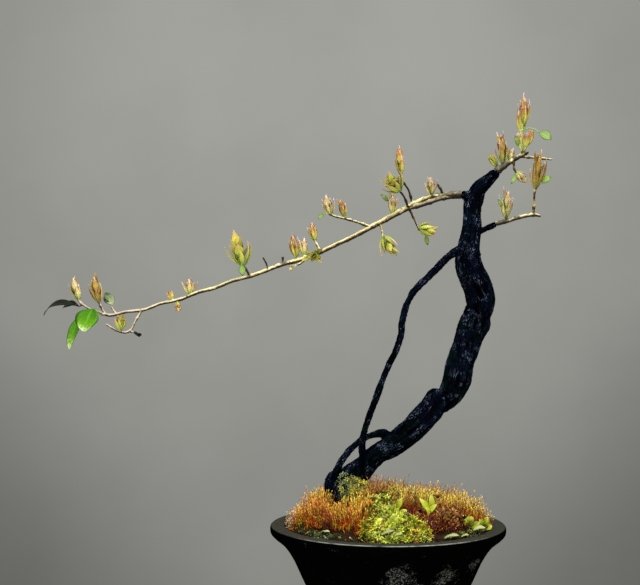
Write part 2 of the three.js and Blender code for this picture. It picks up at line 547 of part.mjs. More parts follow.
function drainScreen(drain) {
  const openings = [];
  for (const column of [-1, 0, 1]) {
    for (const row of [-1, 0, 1]) {
      const opening = new THREE.BoxGeometry(SCREEN_OPENING, SCREEN_OPENING, SCREEN_THICKNESS * 3);
      openings.push(opening.translate(column * SCREEN_PITCH, row * SCREEN_PITCH, 0));
    }
  }
  const sheet = cut(new THREE.BoxGeometry(SCREEN_SIZE, SCREEN_SIZE, SCREEN_THICKNESS), openings);
  sheet.translate(DRAIN_CIRCLE, 0, FLOOR + SEAT_GAP + SCREEN_THICKNESS / 2);
  return sheet.rotateZ((2 * Math.PI * drain) / DRAIN_COUNT);
}

// The tree's black wood, above and below the soil. `grow` widens it for the hole that it stands in.
const knobFace = vector([-1, 0, 0.12]);
const crownFace = vector([0.62, -0.1, 0.78]);
const stubFace = vector([0.9, -0.12, 0.4]);
function stump(grow = 0) {
  return [
    ...BASE_LUMPS.map((run) => limb(run, { ...LUMP_NET, grow })),
    ...ROOTS.map((run) => limb(run, { ...ROOT_NET, grow })),
    limb(TRUNK_LOWER, { ...TRUNK_NET, grow, round: true }),
  ];
}
function trunk() {
  return largestBody(join([
    ...stump(),
    limb(TRUNK_MIDDLE, { ...TRUNK_NET, round: true }),
    limb(TRUNK_UPPER, { ...TRUNK_NET, last: crownFace }),
    thinStem(),
    sideRoot(),
    limb(BRANCH_KNOB, { ...BRANCH_NET, last: knobFace }),
    limb(RIGHT_STUB, { ...BRANCH_NET, last: stubFace }),
  ]));
}
const sideRoot = (grow = 0) => limb(SIDE_ROOT, { ...STRAND_NET, grow });
const thinStem = (grow = 0) => limb(THIN_STEM, { ...STRAND_NET, grow });
const buried = () => [...stump(HOLE_GAP), sideRoot(HOLE_GAP), thinStem(HOLE_GAP)];

function branch(mainRun, first, otherRuns, shoots) {
  return largestBody(join([
    limb(mainRun, { ...BRANCH_NET, first }),
    ...otherRuns.map((run) => limb(run, TWIG_NET)),
    ...shoots.map((spec) => limb(spec.twig, TWIG_NET)),
  ]));
}

// Soil and moss share the height of the mound at a distance from the pot's axis.
const SOIL_RADIUS = fillRadius(SOIL_EDGE);
const soilHeight = (radius) => SOIL_EDGE + (SOIL_TOP - SOIL_EDGE) * (1 - (radius / SOIL_RADIUS) ** 2);

function soil() {
  const bottom = FLOOR + 2 * SEAT_GAP + SCREEN_THICKNESS;
  const heights = [bottom, ...insidePoints.slice(1, -1).map((point) => point[1])];
  const sides = heights.map((z) => [fillRadius(z), z]);
  const mound = [1, 0.75, 0.5, 0.25].map((share) => [SOIL_RADIUS * share, soilHeight(SOIL_RADIUS * share)]);
  const body = turned([[0, bottom], ...sides, ...mound, [0, SOIL_TOP]], SOIL_SIDES);
  return largestBody(cut(body, buried()));
}

// How far a moss cushion reaches from its middle in a direction, before it meets a neighbour or the pot.
function mossReach(cushion, direction) {
  const [x, y] = cushion.at;
  const along = x * direction.x + y * direction.y;
  const wall = SOIL_RADIUS - 0.1;
  let reach = -along + Math.sqrt(along ** 2 + wall ** 2 - x ** 2 - y ** 2);
  MOSS.filter((other) => other !== cushion).forEach((other) => {
    const away = new THREE.Vector2(other.at[0] - x, other.at[1] - y);
    const towards = away.dot(direction) / away.length();
    if (towards > 0.01) {
      reach = Math.min(reach, (away.length() / 2 - SEAT_GAP / 2) / towards);
    }
  });
  return reach;
}

// A moss cushion: it follows the soil below, and above it every other point of its net stands up as a stalk.
function moss(cushion, seed) {
  const random = seededRandom(seed);
  const [x, y] = cushion.at;
  const under = (px, py) => soilHeight(Math.hypot(px, py)) + MOSS_LIFT;
  const ringAt = (share, height) => Array.from({ length: MOSS_SIDES }, (_, side) => {
    const angle = (2 * Math.PI * side) / MOSS_SIDES;
    const direction = new THREE.Vector2(Math.cos(angle), Math.sin(angle));
    const reach = mossReach(cushion, direction) * share;
    const [px, py] = [x + direction.x * reach, y + direction.y * reach];
    const [rise, lean] = height(side);
    const outward = 1 + lean / SOIL_RADIUS;
    return new THREE.Vector3(px * outward, py * outward, under(px, py) + rise);
  });
  const flat = () => [0, 0];
  const rings = [ringAt(0.5, flat), ringAt(1, flat), ringAt(1, () => [MOSS_CUSHION * 0.6, 0])];
  for (let ring = MOSS_RINGS - 1; ring > 0; ring -= 1) {
    const share = ring / MOSS_RINGS;
    rings.push(ringAt(share, (side) => {
      const raised = (ring + side) % 2 === 0;
      const stalk = raised ? cushion.stalk * (0.65 + 0.35 * random()) : 0.6 * random();
      return [MOSS_CUSHION + stalk, raised ? MOSS_LEAN * (stalk / 12) * share : 0];
    }));
  }
  const low = new THREE.Vector3(x, y, under(x, y));
  const high = new THREE.Vector3(x, y, under(x, y) + MOSS_CUSHION + cushion.stalk * 0.8);
  const body = skin(rings, low, high, (ring, side) => ring > 1 && (MOSS_RINGS + 2 - ring + side) % 2 === 0);
  const clearings = PLANTLETS.map((plant) => {
    const column = new THREE.CylinderGeometry(plant.clearing, plant.clearing, 80, 12).rotateX(Math.PI / 2);
    return column.translate(plant.at[0], plant.at[1], SOIL_TOP);
  });
  return largestBody(cut(body, [...buried(), baseMossShape(HOLE_GAP), ...clearings]));
}

// Grey-green moss on the front of the tree's base: a knobbly cap that the wood goes through.
function baseMossShape(grow = 0) {
  const shape = new THREE.IcosahedronGeometry(1, 4);
  shape.deleteAttribute('normal');
  shape.deleteAttribute('uv');
  const cap = mergeVertices(shape, 1e-4);
  const position = cap.attributes.position;
  for (let i = 0; i < position.count; i += 1) {
    const way = new THREE.Vector3().fromBufferAttribute(position, i);
    const knob = 1 + 0.07 * Math.sin(11 * way.x + 3) * Math.sin(9 * way.y)
      + 0.06 * Math.sin(12 * way.z + 5 * way.x);
    const size = vector(BASE_MOSS.size).multiplyScalar(knob).addScalar(grow);
    position.setXYZ(i, ...way.multiply(size).add(vector(BASE_MOSS.at)).toArray());
  }
  return cap;
}
const baseMoss = () => largestBody(cut(baseMossShape(), buried()));

function plantlet(plant, seed) {
  const random = seededRandom(seed);
  const [x, y] = plant.at;
  const foot = soilHeight(Math.hypot(x, y)) + SEAT_GAP;
  const pieces = [limb([[x, y, foot, 1.6], [x, y, foot + 3, 1.4], [x, y, foot + 8, 0.8]], STEM_NET)];
  for (let leaf = 0; leaf < plant.leaves; leaf += 1) {
    const angle = leaf * GOLDEN_ANGLE + random() * 0.3;
    const out = new THREE.Vector3(Math.cos(angle), Math.sin(angle), 0);
    const start = new THREE.Vector3(x, y, foot + 1.5 + leaf * 1.1).addScaledVector(out, 0.8);
    const lean = 0.7 - 0.09 * leaf;
    const way = new THREE.Vector3(0, 0, Math.cos(lean)).addScaledVector(out, Math.sin(lean));
    const tip = start.clone().addScaledVector(way, plant.length * (0.75 + 0.25 * random()));
    const face = out.clone().negate().add(UP);
    pieces.push(blade({ foot: start, tip, face, width: PLANTLET_LEAF, arch: -0.1, widest: 0.6 }));
  }
  return largestBody(join(pieces));
}

const bonsai = new THREE.Group();
bonsai.name = 'cathay_persimmon_bonsai';
function add(name, geometry, color, roughness, metalness = 0) {
  const mesh = new THREE.Mesh(geometry, new THREE.MeshStandardMaterial({ color, roughness, metalness }));
  mesh.name = name;
  bonsai.add(mesh);
}

const BARK_BLACK = 0x14161c;
const BARK_TAN = 0xb08a5c;
add('pot', pot(), 0x1b1b1d, 0.35);
for (let drain = 0; drain < DRAIN_COUNT; drain += 1) {
  add(`drain_screen_${drain + 1}`, drainScreen(drain), 0x30302e, 0.6);
}
add('soil', soil(), 0x3a2c20, 0.95);
add('trunk', trunk(), BARK_BLACK, 0.85);
add('base_moss', baseMoss(), 0x5a6238, 0.95);
const longTwigs = [LOWER_STRAND, ...BARE_TWIGS, ...LARGE_LEAVES.map((leaf) => leaf.twig)];
add('branch_long', branch(LONG_BRANCH, knobFace, longTwigs, SHOOTS.long), BARK_TAN, 0.8);
add('branch_crown', branch(CROWN_BRANCH, crownFace, [CROWN_TWIG], SHOOTS.crown), BARK_TAN, 0.8);
add('branch_right', branch(RIGHT_BRANCH, stubFace, [], SHOOTS.right), BARK_TAN, 0.8);
[...SHOOTS.long, ...SHOOTS.crown, ...SHOOTS.right].forEach((spec, i) => {
  add(spec.name, shoot(spec, 100 + i), spec.colour, 0.6);
});
LARGE_LEAVES.forEach((spec) => {
  add(spec.name, largestBody(join(spec.leaves.flatMap(stalkedLeaf))), spec.colour, 0.5);
});
MOSS.forEach((cushion, i) => add(cushion.name, moss(cushion, 300 + i), cushion.colour, 0.95));
PLANTLETS.forEach((plant, i) => add(plant.name, plantlet(plant, 400 + i), plant.colour, 0.6));

export default bonsai;
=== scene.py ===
# A cathay persimmon bonsai in its round flared pot, dressed round its packed CAD model.
import math
import random

import bpy
import numpy as np
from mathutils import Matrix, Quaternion, Vector, noise


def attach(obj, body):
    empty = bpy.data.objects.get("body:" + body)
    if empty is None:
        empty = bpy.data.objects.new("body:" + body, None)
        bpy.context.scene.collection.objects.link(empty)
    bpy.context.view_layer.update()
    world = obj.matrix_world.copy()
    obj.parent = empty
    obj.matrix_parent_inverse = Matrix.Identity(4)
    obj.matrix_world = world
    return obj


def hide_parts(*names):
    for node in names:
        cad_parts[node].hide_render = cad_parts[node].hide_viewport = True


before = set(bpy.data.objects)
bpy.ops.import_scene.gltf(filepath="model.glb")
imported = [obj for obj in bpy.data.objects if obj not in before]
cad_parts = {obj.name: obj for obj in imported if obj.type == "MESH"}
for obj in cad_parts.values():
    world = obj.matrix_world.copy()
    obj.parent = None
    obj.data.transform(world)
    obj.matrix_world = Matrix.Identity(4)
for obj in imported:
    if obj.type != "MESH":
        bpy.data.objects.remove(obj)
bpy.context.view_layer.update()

bl_info = {
    "name": "Cathay persimmon bonsai",
    "version": (1, 0, 0),
    "blender": (4, 5, 0),
    "location": "3D View > Sidebar > Bonsai",
    "description": "Builds a leaning persimmon bonsai with its pot, moss and young leaves",
    "category": "Object",
}

MM = 0.001
UP = Vector((0, 0, 1))
TO_VIEWER = Vector((0, -1, 0))
GOLDEN_ANGLE = math.pi * (3 - math.sqrt(5))

# Everything below is in millimetres, as in the CAD source: +X right in the front view, -Y to the viewer.
POT_HEIGHT = 140
WALL = 7
FLOOR = 10
MOUTH_RADIUS = 92
POT_WALL = [
    (50, 0), (53, 20), (58, 45), (65, 68), (75.4, 91), (85.4, 112), (93, 123), (101.4, 130.2),
]
POT_LIP = [
    (101.9, 130.6), (102.1, 131.3), (103.5, 132.2), (104.4, 133.4), (104.9, 135), (105, 136.6),
    (104.9, 138.2), (104.5, 139.3), (103.9, 139.85), (103.2, 140), (92.9, 140), (92.3, 139.8), (92, 139.2),
]
# Drain holes on a circle in the floor, the grooves under the foot, and the top of the screens.
DRAIN_COUNT = 3
DRAIN_RADIUS = 7
DRAIN_CIRCLE = 25
GROOVE_DEPTH = 3
GROOVE_WIDTH = 6
SCREEN_TOP = 11.3
# The soil's height at the wall and in the middle, and the gap between parts that rest on each other.
SOIL_EDGE = 137
SOIL_TOP = 159
SEAT_GAP = 0.3
# Radii of a single leaf's stalk and of a shoot's stem.
STALK_RADIUS = 0.75
STEM_RADIUS = 1.25

# Wood runs: x, y, z and radius along the middle of the wood, from the older end to the younger.
TRUNK_LOWER = [
    (-37, 2, 136, 6), (-38, 2, 150, 11), (-39, 2, 168, 13.4), (-32, 0, 180, 12.5), (-21, -2, 192, 9.8),
    (-9, -4, 204, 8.9), (9, -7, 215, 10.4), (25, -10, 229, 11), (38, -11, 243, 11.6), (43, -11, 254, 10.2),
]
TRUNK_MIDDLE = [
    (44, -9, 241, 3), (50, -8, 248, 7.4), (56, -6, 257, 11), (62, -3, 271, 12.9), (66, 2, 287, 11.9),
    (72, 6, 304, 12.6), (78, 8, 320, 13.5), (81, 8, 332, 10.5),
]
TRUNK_UPPER = [
    (82, 7, 322, 9), (84, 6, 340, 13), (78, 3, 358, 13), (72, 0, 374, 11.6), (72, -2, 388, 9.8),
    (74, -2, 403, 8.5), (75, -1, 417, 7.6), (77, 0, 430, 7.9), (82, 0, 440, 6.7), (90, -1, 447, 5.5),
    (97, -2, 455, 4.1),
]
THIN_STEM = [
    (74, 0, 396, 3), (71, 0, 388, 4.5), (62, -2, 384, 3.9), (52, -4, 378, 3.5), (43, -6, 368, 3.3),
    (33, -8, 358, 3.1), (23, -10, 348, 3.1), (16, -12, 335, 2.9), (12, -13, 321, 2.9), (11, -13, 310, 2.9),
    (7, -14, 298, 2.8), (0, -15, 282, 2.8), (-7, -16, 266, 2.8), (-12, -17, 251, 2.8), (-18, -17, 236, 2.8),
    (-22, -17, 222, 2.9), (-23, -15, 208, 3), (-23, -12, 194, 3.5), (-27, -7, 177, 4.6),
]
SIDE_ROOT = [
    (9, -7, 215, 2.6), (-4, -8, 222, 4.1), (-12, -8, 221, 2.9), (-21, -7, 218, 2.8), (-29, -6, 212, 2.8),
    (-36, -5, 204, 2.8), (-42, -4, 195, 2.9), (-46, -3, 186, 3.4), (-46, -1, 172, 5),
]
BASE_LUMPS = [
    [(-45, 1, 186, 7), (-45.5, 2, 176, 11), (-45, 2, 162, 12), (-43, 2, 148, 9), (-40, 2, 136, 5)],
    [(-31, -1, 184, 9.5), (-31, -2, 173, 12.8), (-31, -1, 160, 13), (-33, 0, 147, 9), (-35, 1, 136, 5)],
]
ROOTS = [
    [(-38, 2, 146, 5), (-52, -10, 132, 3.4), (-68, -22, 118, 1.4)],
    [(-36, 2, 146, 5), (-20, -14, 130, 3.2), (-4, -28, 114, 1.3)],
    [(-36, 4, 146, 5), (-16, 16, 128, 3.2), (2, 26, 112, 1.3)],
    [(-38, 4, 146, 5), (-50, 18, 128, 3), (-58, 32, 110, 1.2)],
]
BRANCH_KNOB = [(78, 0, 430, 5), (71, -1, 433, 4.6), (66, -1, 434, 3.9)]
RIGHT_STUB = [(76, -1, 400, 4), (83, -2, 402, 3.1), (90, -3, 405, 2.8), (96, -4, 408, 2.3)]
KNOB_FACE = (-1, 0, 0.12)
CROWN_FACE = (0.62, -0.1, 0.78)
STUB_FACE = (0.9, -0.12, 0.4)
LONG_BRANCH = [
    (65.6, -1.1, 434.1, 3.8), (57, -2, 434, 3.4), (49, -3, 433, 2.9), (38, -5, 432, 2.5),
    (28, -6, 428, 2.5), (17, -7, 422, 2.7), (2, -8, 414, 2.4), (-15, -9, 405, 2.2),
    (-32, -10, 396, 2), (-47, -11, 389, 1.9), (-62, -12, 382, 1.9), (-78, -13, 376, 1.9),
    (-93, -15, 372, 1.9), (-109, -16, 366, 1.8), (-123, -17, 361, 1.7), (-138, -18, 357, 1.6),
    (-153, -19, 351, 1.6), (-168, -20, 347, 1.5), (-183, -21, 341, 1.5), (-201, -22, 337, 1.4),
    (-214, -22, 332, 1.4), (-230, -23, 330, 1.3), (-245, -23, 327, 1.3), (-254, -24, 330, 1.2),
]
LOWER_STRAND = [
    (57, -3, 432, 1.6), (46, -6, 430, 1.8), (37, -8, 427, 1.9), (28, -9, 424, 1.8), (18, -8, 421.5, 1.4),
]
CROWN_BRANCH = [
    (97.3, -2.1, 455.3, 4), (102, -2.5, 458.5, 2.8), (107, -3, 462, 2.3), (115, -4, 467, 2),
    (124, -5, 472, 1.8),
]
CROWN_TWIG = [(117, -4, 468, 1.3), (129, -6, 467, 1.2), (145, -9, 465, 0.9)]
RIGHT_BRANCH = [
    (96.4, -4.1, 408.2, 2.2), (107, -5, 411, 2), (117, -6, 414, 1.8), (129, -7, 416, 1.7),
    (135, -7, 415, 1.2),
]
BARE_TWIGS = [
    [(49, -3, 433, 1.6), (47, -5, 439, 1.1), (44, -6, 443, 1.3)],
    [(-93, -15, 371.5, 1.4), (-93.3, -15, 374.5, 0.9), (-93.3, -15, 378, 1.2)],
    [(-106, -16, 366.5, 1), (-108, -18, 373, 0.7), (-110.5, -19, 377.5, 1)],
    [(-217, -22, 331, 1.2), (-222, -25, 322, 1), (-226, -27, 314, 1), (-231, -28, 312, 1),
     (-238, -28, 314, 1), (-247, -27, 319, 0.9)],
]


# Twigs whose bark is old and dark.
DARK_TWIGS = ("shoot_spire", "shoot_crest", "shoot_cone")


def spray(twig, tip, leaves, width, lean, finish, **others):
    """One leafy shoot: its twig, the tip of its tallest leaf, leaf count, leaf width, lean and finish."""
    return {"twig": twig, "tip": tip, "leaves": leaves, "width": width, "lean": lean, "finish": finish,
            **others}


# Leafy shoots by the branch that carries them. `more` and `fan` hold single leaves on stalks, round ones
# and ones that face the viewer: points, tip, width. `stem` is the shoot's own stem where it is a long one,
# `first_leaf` says where its leaves start, and `look` is another leaf colour than its finish.
SHOOTS = {
    "long": {
        "shoot_pink": spray([(38.5, -5, 432, 1.7), (38.5, -5.5, 436.5, 1.2)], (37, -9, 449), 6, 4.2, 0.42,
            "pink"),
        "shoot_spire": spray([(22, -6, 425, 1.3), (18, -8, 438, 1), (12, -11, 447, 0.9), (11, -12, 453, 1)],
            (9, -14, 474), 5, 4.4, 0.2, "amber"),
        "shoot_crest": spray([(18, -8, 422, 1.3), (14, -14, 431, 1), (9, -20, 437, 1)], (-3, -26, 449), 7,
            8, 0.85, "lime"),
        "shoot_stalks": spray([(4, -8, 415, 1.6), (4.5, -7.5, 419.5, 1.1)], (3, -5, 435), 6, 4.4, 0.36,
            "pink", more=[([(4, -7, 422), (0, -8, 428)], (-7, -9, 434), 5)]),
        "shoot_hang_right": spray([(19, -6, 421, 1.3), (24, -4, 411, 0.9), (28, -2, 402.5, 0.9)],
            (43, 2, 402), 6, 5, 0.65, "lime", more=[([(31, -1.3, 401.8), (34, -2, 397)], (35.5, -2, 389),
            4)]),
        "shoot_hang_left": spray([(-7, -9, 408, 1.3), (-5.5, -11, 401, 0.8), (-4.6, -13, 395, 0.9)],
            (5, -17, 381.5), 6, 4.6, 0.6, "lime", more=[([(1, -15, 386), (3.5, -17, 383)], (7, -18, 379),
            3)]),
        "shoot_fork_right": spray([(-38, -16, 412, 1.2), (-39, -16.5, 416, 1)], (-43, -17, 428), 6, 4.4,
            0.4, "amber"),
        "shoot_fork_left": spray([(-15, -9, 405, 1.5), (-27, -12, 409, 1.1), (-38, -16, 412, 1.1),
            (-47, -19, 414, 1), (-53, -20, 416, 1)], (-56, -22, 432), 5, 4.2, 0.38, "pink",
            more=[([(-54, -20, 417), (-58, -21, 416)], (-62, -22, 411), 4)]),
        "shoot_flame_high": spray([(-60, -12, 383, 1.3), (-64, -9, 391, 0.9), (-66, -8, 395, 1)],
            (-68, -6, 408), 5, 4.2, 0.34, "amber"),
        "shoot_flame_left": spray([(-80, -13, 375.5, 1.6), (-82, -13, 379.5, 1.1)], (-85, -16, 398), 5, 4.4,
            0.24, "amber"),
        "shoot_flame_right": spray([(-74, -13, 377.5, 1.6), (-74.5, -12, 382, 1)], (-75, -8, 395), 5, 4,
            0.3, "pink"),
        "shoot_rosette": spray([(-66, -12, 380.5, 1.6), (-66, -17, 380, 1.1)], (-66, -27, 378), 7, 4.6,
            0.95, "lime"),
        "shoot_low_bud": spray([(-73, -13, 377, 1.3), (-78, -14, 372.5, 0.8), (-81, -14.5, 371.3, 0.8)],
            (-88, -16, 367), 3, 3.2, 0.4, "pink"),
        "shoot_cone": spray([(-122, -17, 361.5, 1.4), (-126, -19, 368, 1), (-129.5, -20, 371.5, 1.1)],
            (-134, -24, 396), 8, 6.2, 0.55, "lime", more=[([(-130.5, -21, 374), (-129, -24.5, 371)],
            (-128, -27, 361.5), 6)]),
        "shoot_cup": spray([(-175, -20.5, 344, 1.4), (-175, -20.5, 348, 1)], (-176, -19, 359), 5, 5, 0.6,
            "amber", look="pink"),
        "shoot_amber_up": spray([(-190, -21.5, 339.5, 1.4), (-191, -21.5, 343, 0.9)], (-193, -20, 348), 5,
            4.6, 0.55, "amber"),
        "shoot_amber_down": spray([(-186, -21, 340.5, 1.3), (-185.5, -22.5, 337, 0.8)], (-184, -25, 331), 4,
            4.4, 0.5, "amber"),
        "shoot_tip_cup": spray([(-234, -28, 312.5, 1.1), (-234, -28, 316, 0.9)], (-234.5, -30, 327), 6, 6.4,
            0.55, "lime"),
        "shoot_tip_low": spray([(-227, -27.5, 313, 0.9), (-223.5, -27, 312.3, 0.8)], (-216, -26, 310), 2, 4,
            0.3, "dark"),
        "shoot_tip_orange": spray([(-249, -23.5, 328.5, 1.2), (-253, -25, 336, 0.9), (-254.5, -26, 340, 1)],
            (-258, -28, 361), 5, 4.6, 0.3, "amber", look="golden"),
        "shoot_tip_pale": spray([(-252, -24, 329, 1.2), (-263, -22, 333, 1.1), (-271, -19, 338, 1),
            (-274, -18, 342, 1)], (-278, -16, 360), 5, 4.2, 0.28, "pink"),
        "leaf_grey": spray([(-239, -23, 328.5, 1), (-243, -20, 333, 0.7), (-244.5, -19, 337, 0.7)],
            (-250, -16, 347), 1, 9, 0, "grey", fan=[([(-243.5, -20, 335), (-242.5, -21, 337)],
            (-249, -18, 347), 10)]),
    },
    "crown": {
        "shoot_crown_leader": spray([(119, -4.5, 469.5, 1.7), (120, -5, 473.5, 1.4)], (121, -6, 525), 5, 5,
            0.16, "amber", stem=[(120.4, -5.2, 475.4, 1.5), (118.5, -5.5, 480, 1.5), (118.5, -6, 490, 1.3),
            (120, -6, 499, 0.8)], first_leaf=0.42, fan=[([(119, -5, 472.5), (117.5, -7, 476)],
            (115, -9, 489), 6.5), ([(121, -5, 472.5), (123.5, -8, 477)], (128, -8, 493), 7),
            ([(120.5, -5, 472.5), (121.5, -9, 475)], (123.5, -12, 489), 7.5), ([(118.5, -5.5, 486),
            (117.3, -6.5, 489)], (116, -8, 509), 4.6), ([(118.6, -5.6, 487), (120.2, -6, 490)],
            (122.5, -7, 510), 4.6), ([(118.6, -6, 489), (118.8, -8, 492)], (119, -10, 512), 5)],
            more=[([(119, -6, 489), (123, -7, 492.5), (129, -9, 492), (134, -11, 488.5)], (144, -13, 482),
            10.5), ([(119, -5.2, 473.5), (115.5, -7, 477)], (112, -10, 486), 5)]),
        "shoot_crown_left": spray([(103, -2.5, 459.5, 2), (102.5, -3.5, 464, 1.4)], (100, -6, 487), 7, 4.8,
            0.3, "amber"),
        "shoot_crown_low": spray([(99, -2.5, 457, 1.8), (96.5, -0.5, 461.5, 1)], (91, 2, 470), 4, 4, 0.42,
            "lime"),
        "shoot_crown_red": spray([(108.5, -3, 463, 1.7), (109.5, -1, 467, 1)], (112, 3, 475.5), 4, 3.8, 0.4,
            "pink"),
        "shoot_crown_under": spray([(112, -4, 465, 1.4), (112.5, -4, 457, 0.9), (115, -3, 452.5, 0.9)],
            (125, 0, 446), 4, 4.2, 0.5, "pink", more=[([(116, -3, 451.5), (114, -6, 452)], (109, -9, 443),
            4)]),
    },
    "right": {
        "shoot_right_gold": spray([(129, -7, 415.5, 1.5), (129.5, -8, 428, 1.1), (130, -9, 437, 1),
            (131.5, -9, 440.5, 1.1)], (132, -16, 470), 7, 4.8, 0.26, "amber", look="golden",
            more=[([(132, -10, 444), (136, -12, 444)], (144, -15, 449), 7.5)]),
        "shoot_right_pink": spray([(105, -5, 410.5, 1.8), (105.3, -5, 415.5, 1.2)], (106, -3, 438), 6, 4.6,
            0.38, "pink", more=[([(105.2, -5.2, 418), (101, -8, 423)], (97, -9, 430), 4)]),
    },
}

# Grown leaves at the far end: the twig, then each leaf's stalk, tip, width, upper face, arch and wave.
GROWN_LEAVES = {
    "leaf_broad": {
        "finish": "green", "twig": [(-248, -23.5, 328, 1), (-251, -27, 327.5, 0.9)],
        "leaves": [([(-251.5, -27.6, 327.5), (-256, -31, 331), (-258.5, -32, 333.5)], (-265, -38, 313),
                    26, (-0.6, -1, 0.25), 0.06, 0.8)]},
    "leaf_hanging": {
        "finish": "green", "twig": [(-262, -22, 332.7, 1), (-266, -20.5, 329.5, 0.8)],
        "leaves": [([(-266.6, -20.3, 329), (-270, -20, 326.5)], (-280, -25, 297),
                    11, (-0.5, -0.85, 0.2), 0.1, 0.4)]},
    "leaf_dark": {
        "finish": "dark", "twig": [(-269, -19.7, 336.5, 0.9), (-272.5, -17, 335, 0.8)],
        "leaves": [([(-273, -16.6, 334.9), (-276, -14, 335.5)], (-308, 3, 326),
                    10.5, (-0.4, -0.55, 1), 0.2, 0.1),
                   ([(-273.6, -16.2, 335.2), (-276, -12, 337)], (-290, -2, 333),
                    9, (-0.2, -0.7, 0.8), 0.12, 0.1)]},
}

# Moss cushions: middle on the soil, height of the stalks, finish.
MOSS = {
    "moss_left": ((-72, -14), 12, "rust"),
    "moss_front_left": ((-50, -56), 11, "rust"),
    "moss_rust": ((-22, -34), 13, "rust"),
    "moss_lime": ((6, -74), 3.5, "lime"),
    "moss_gold": ((22, -26), 12, "gold"),
    "moss_maroon": ((44, -50), 6, "maroon"),
    "moss_right": ((70, -14), 11, "gold"),
    "moss_back_right": ((46, 40), 12, "rust"),
    "moss_back": ((-4, 52), 13, "rust"),
    "moss_back_left": ((-56, 46), 12, "rust"),
}
# Where the moss turns another colour: the colour low down, the colour at the tips, and the middle and
# half widths of each patch.
# The colours low down are darker as painted shade low in the cushion.
MOSS_PATCHES = {
    "yellow": ("a04c08", "fce850", [(-60, 0, 8, 12), (-30, -42, 13, 8), (24, -84, 12, 6),
                                    (52, -20, 10, 9)]),
    "wine": ("1c0403", "a84c38", [(17, -54, 15, 10), (33, -66, 7, 8), (58, -62, 9, 6), (-41, -20, 8, 9),
                                  (-62, -60, 15, 8)]),
    "umber": ("2c0c05", "cc9050", [(-8, -22, 13, 13), (52, -46, 14, 14), (-48, 8, 8, 10)]),
    "fresh": ("5a6c0c", "eef26c", [(15, -20, 14, 9), (-9, -50, 10, 14), (-4, -82, 22, 9), (34, -84, 16, 5),
                                   (2, -66, 9, 8)]),
    "buff": ("5c2c10", "f0d4a8", [(-87, -8, 6, 20)]),
}
# Where the moss stays low: middle, half widths and by how much.
MOSS_DIPS = [(-35, -28, 19, 17, 0.82), (-80, 0, 18, 40, 0.5), (34, 8, 44, 34, 0.5), (-10, 50, 70, 32, 0.5)]
# The moss on the wood: its middle and half widths.
BASE_MOSS = {"at": (-33, -6, 172.5), "size": (15, 14, 14.5)}
# How high the felt of a cushion rises, and how far it lies above the soil.
MOSS_CUSHION = 3.5
MOSS_LIFT = 0.55
# Small leafy plants in the moss: where each stands, how wide its clearing is, leaf count, leaf length.
PLANTLETS = {
    "plantlet_front": ((4, -50), 9, 6, 13),
    "plantlet_middle": ((37, -8), 8, 6, 13),
    "plantlet_right": ((68, -44), 8, 5, 11),
}
# Seedlings that only this scene adds, and the width of a seedling's leaf.
SEEDLINGS = {"seedling_rim": ((1, -73), 8, 7, 9), "seedling_right": ((82, -32), 8, 6, 8)}
SEEDLING_LEAF = 5.6
# Where the wood stands in the moss: middle and radius.
WOOD_IN_MOSS = [(-45, 2, 12.5), (-31, -1, 13.5), (-33, -6, 12)]
# Fresh leaves that stand in the moss, and pale ones that lie at the rim: foot, tip, width.
GROUND_LEAVES = [
    ((34, -53, 157.5), (24, -57, 172), 6.5), ((35, -52, 159), (34, -55, 175), 6.5),
    ((31, -54, 158), (39, -58, 167), 5), ((34, -54, 156), (29, -59, 165), 5),
    ((14, -74, 148), (20, -68, 156), 6), ((-6, -76, 147), (-1, -72, 156), 6.5),
    ((26, -40, 158), (34, -44, 165), 6),
    ((-16, -72, 149), (-8, -68, 157), 6), ((-12, -44, 158), (-4, -48, 165), 5),
]
PALE_LEAVES = [
    ((-10, -84, 144.5), (3, -80, 149), 5.5), ((-2, -85, 143.5), (9, -83, 146), 4),
    ((43, -79, 141.5), (57, -72, 142.5), 4.5), ((58, -70, 141), (66, -63, 141.5), 3),
    ((70, -55, 144), (82, -46, 144.5), 6), ((-60, -66, 144.5), (-52, -71, 145.5), 3),
]
# Where litter lies inside the rim: from one angle to another round the pot, in degrees.
LITTER = [(-156, -108), (-68, -14)]
LITTER_RADIUS = 86
LITTER_STEPS = 9
# Copies on each square millimetre.
GRIT_DENSITY = 0.16
LITTER_GRIT_DENSITY = 0.3
LITTER_TUFT_DENSITY = 0.05
LENTICEL_DENSITY = 0.03
BASE_TUFT_DENSITY = 0.27
LITTER_TUFT = 2.6
HAIR_WIDTH = 0.05
ROSETTE_WIDTH = 4.2
# Cushions lower than this are low moss, and those at the back carry this share of the stalks.
LOW_MOSS = 8
BACK_SHARE = 0.6
# Leaf joints along a twig.
JOINT_SPACING = 13
JOINT_LENGTH = 1.3
# The bark's skin is worked on in batches of points, and its grain is drawn out along the wood.
BATCH = 4000
GRAIN_STRETCH = 0.16
# Leaves in a shoot besides the counted ones, which shoots of few leaves lack.
OUTER_LEAVES = 8
OUTER_TURN = 0.86
HEART_LEAVES = 3
FEW_LEAVES = 3
# The photo's view, in metres, and its lens in millimetres.
CAMERA_PLACE = (-0.0605, -1.2, 0.347)
LENS = 75.54
SENSOR = 36
# Lamps: place, aim and size in metres, and share of the light's power.
LAMPS = {
    "light_above": ((0.35, -0.55, 1.9), (0, 0, 0.25), 1.5, 1.0),
    "light_front": ((-1.3, -1.6, 1.0), (0, 0, 0.3), 1.2, 0.32),
}
FLOOR_CORNERS = [(-1.6, -1.6, 0), (1.6, -1.6, 0), (1.6, 0.37, 0), (-1.6, 0.37, 0)]


def linear(code):
    """An sRGB hex colour such as b08a5c as linear red, green and blue."""
    parts = [int(code[i:i + 2], 16) / 255 for i in (0, 2, 4)]
    return [c / 12.92 if c <= 0.04045 else ((c + 0.055) / 1.055) ** 2.4 for c in parts]


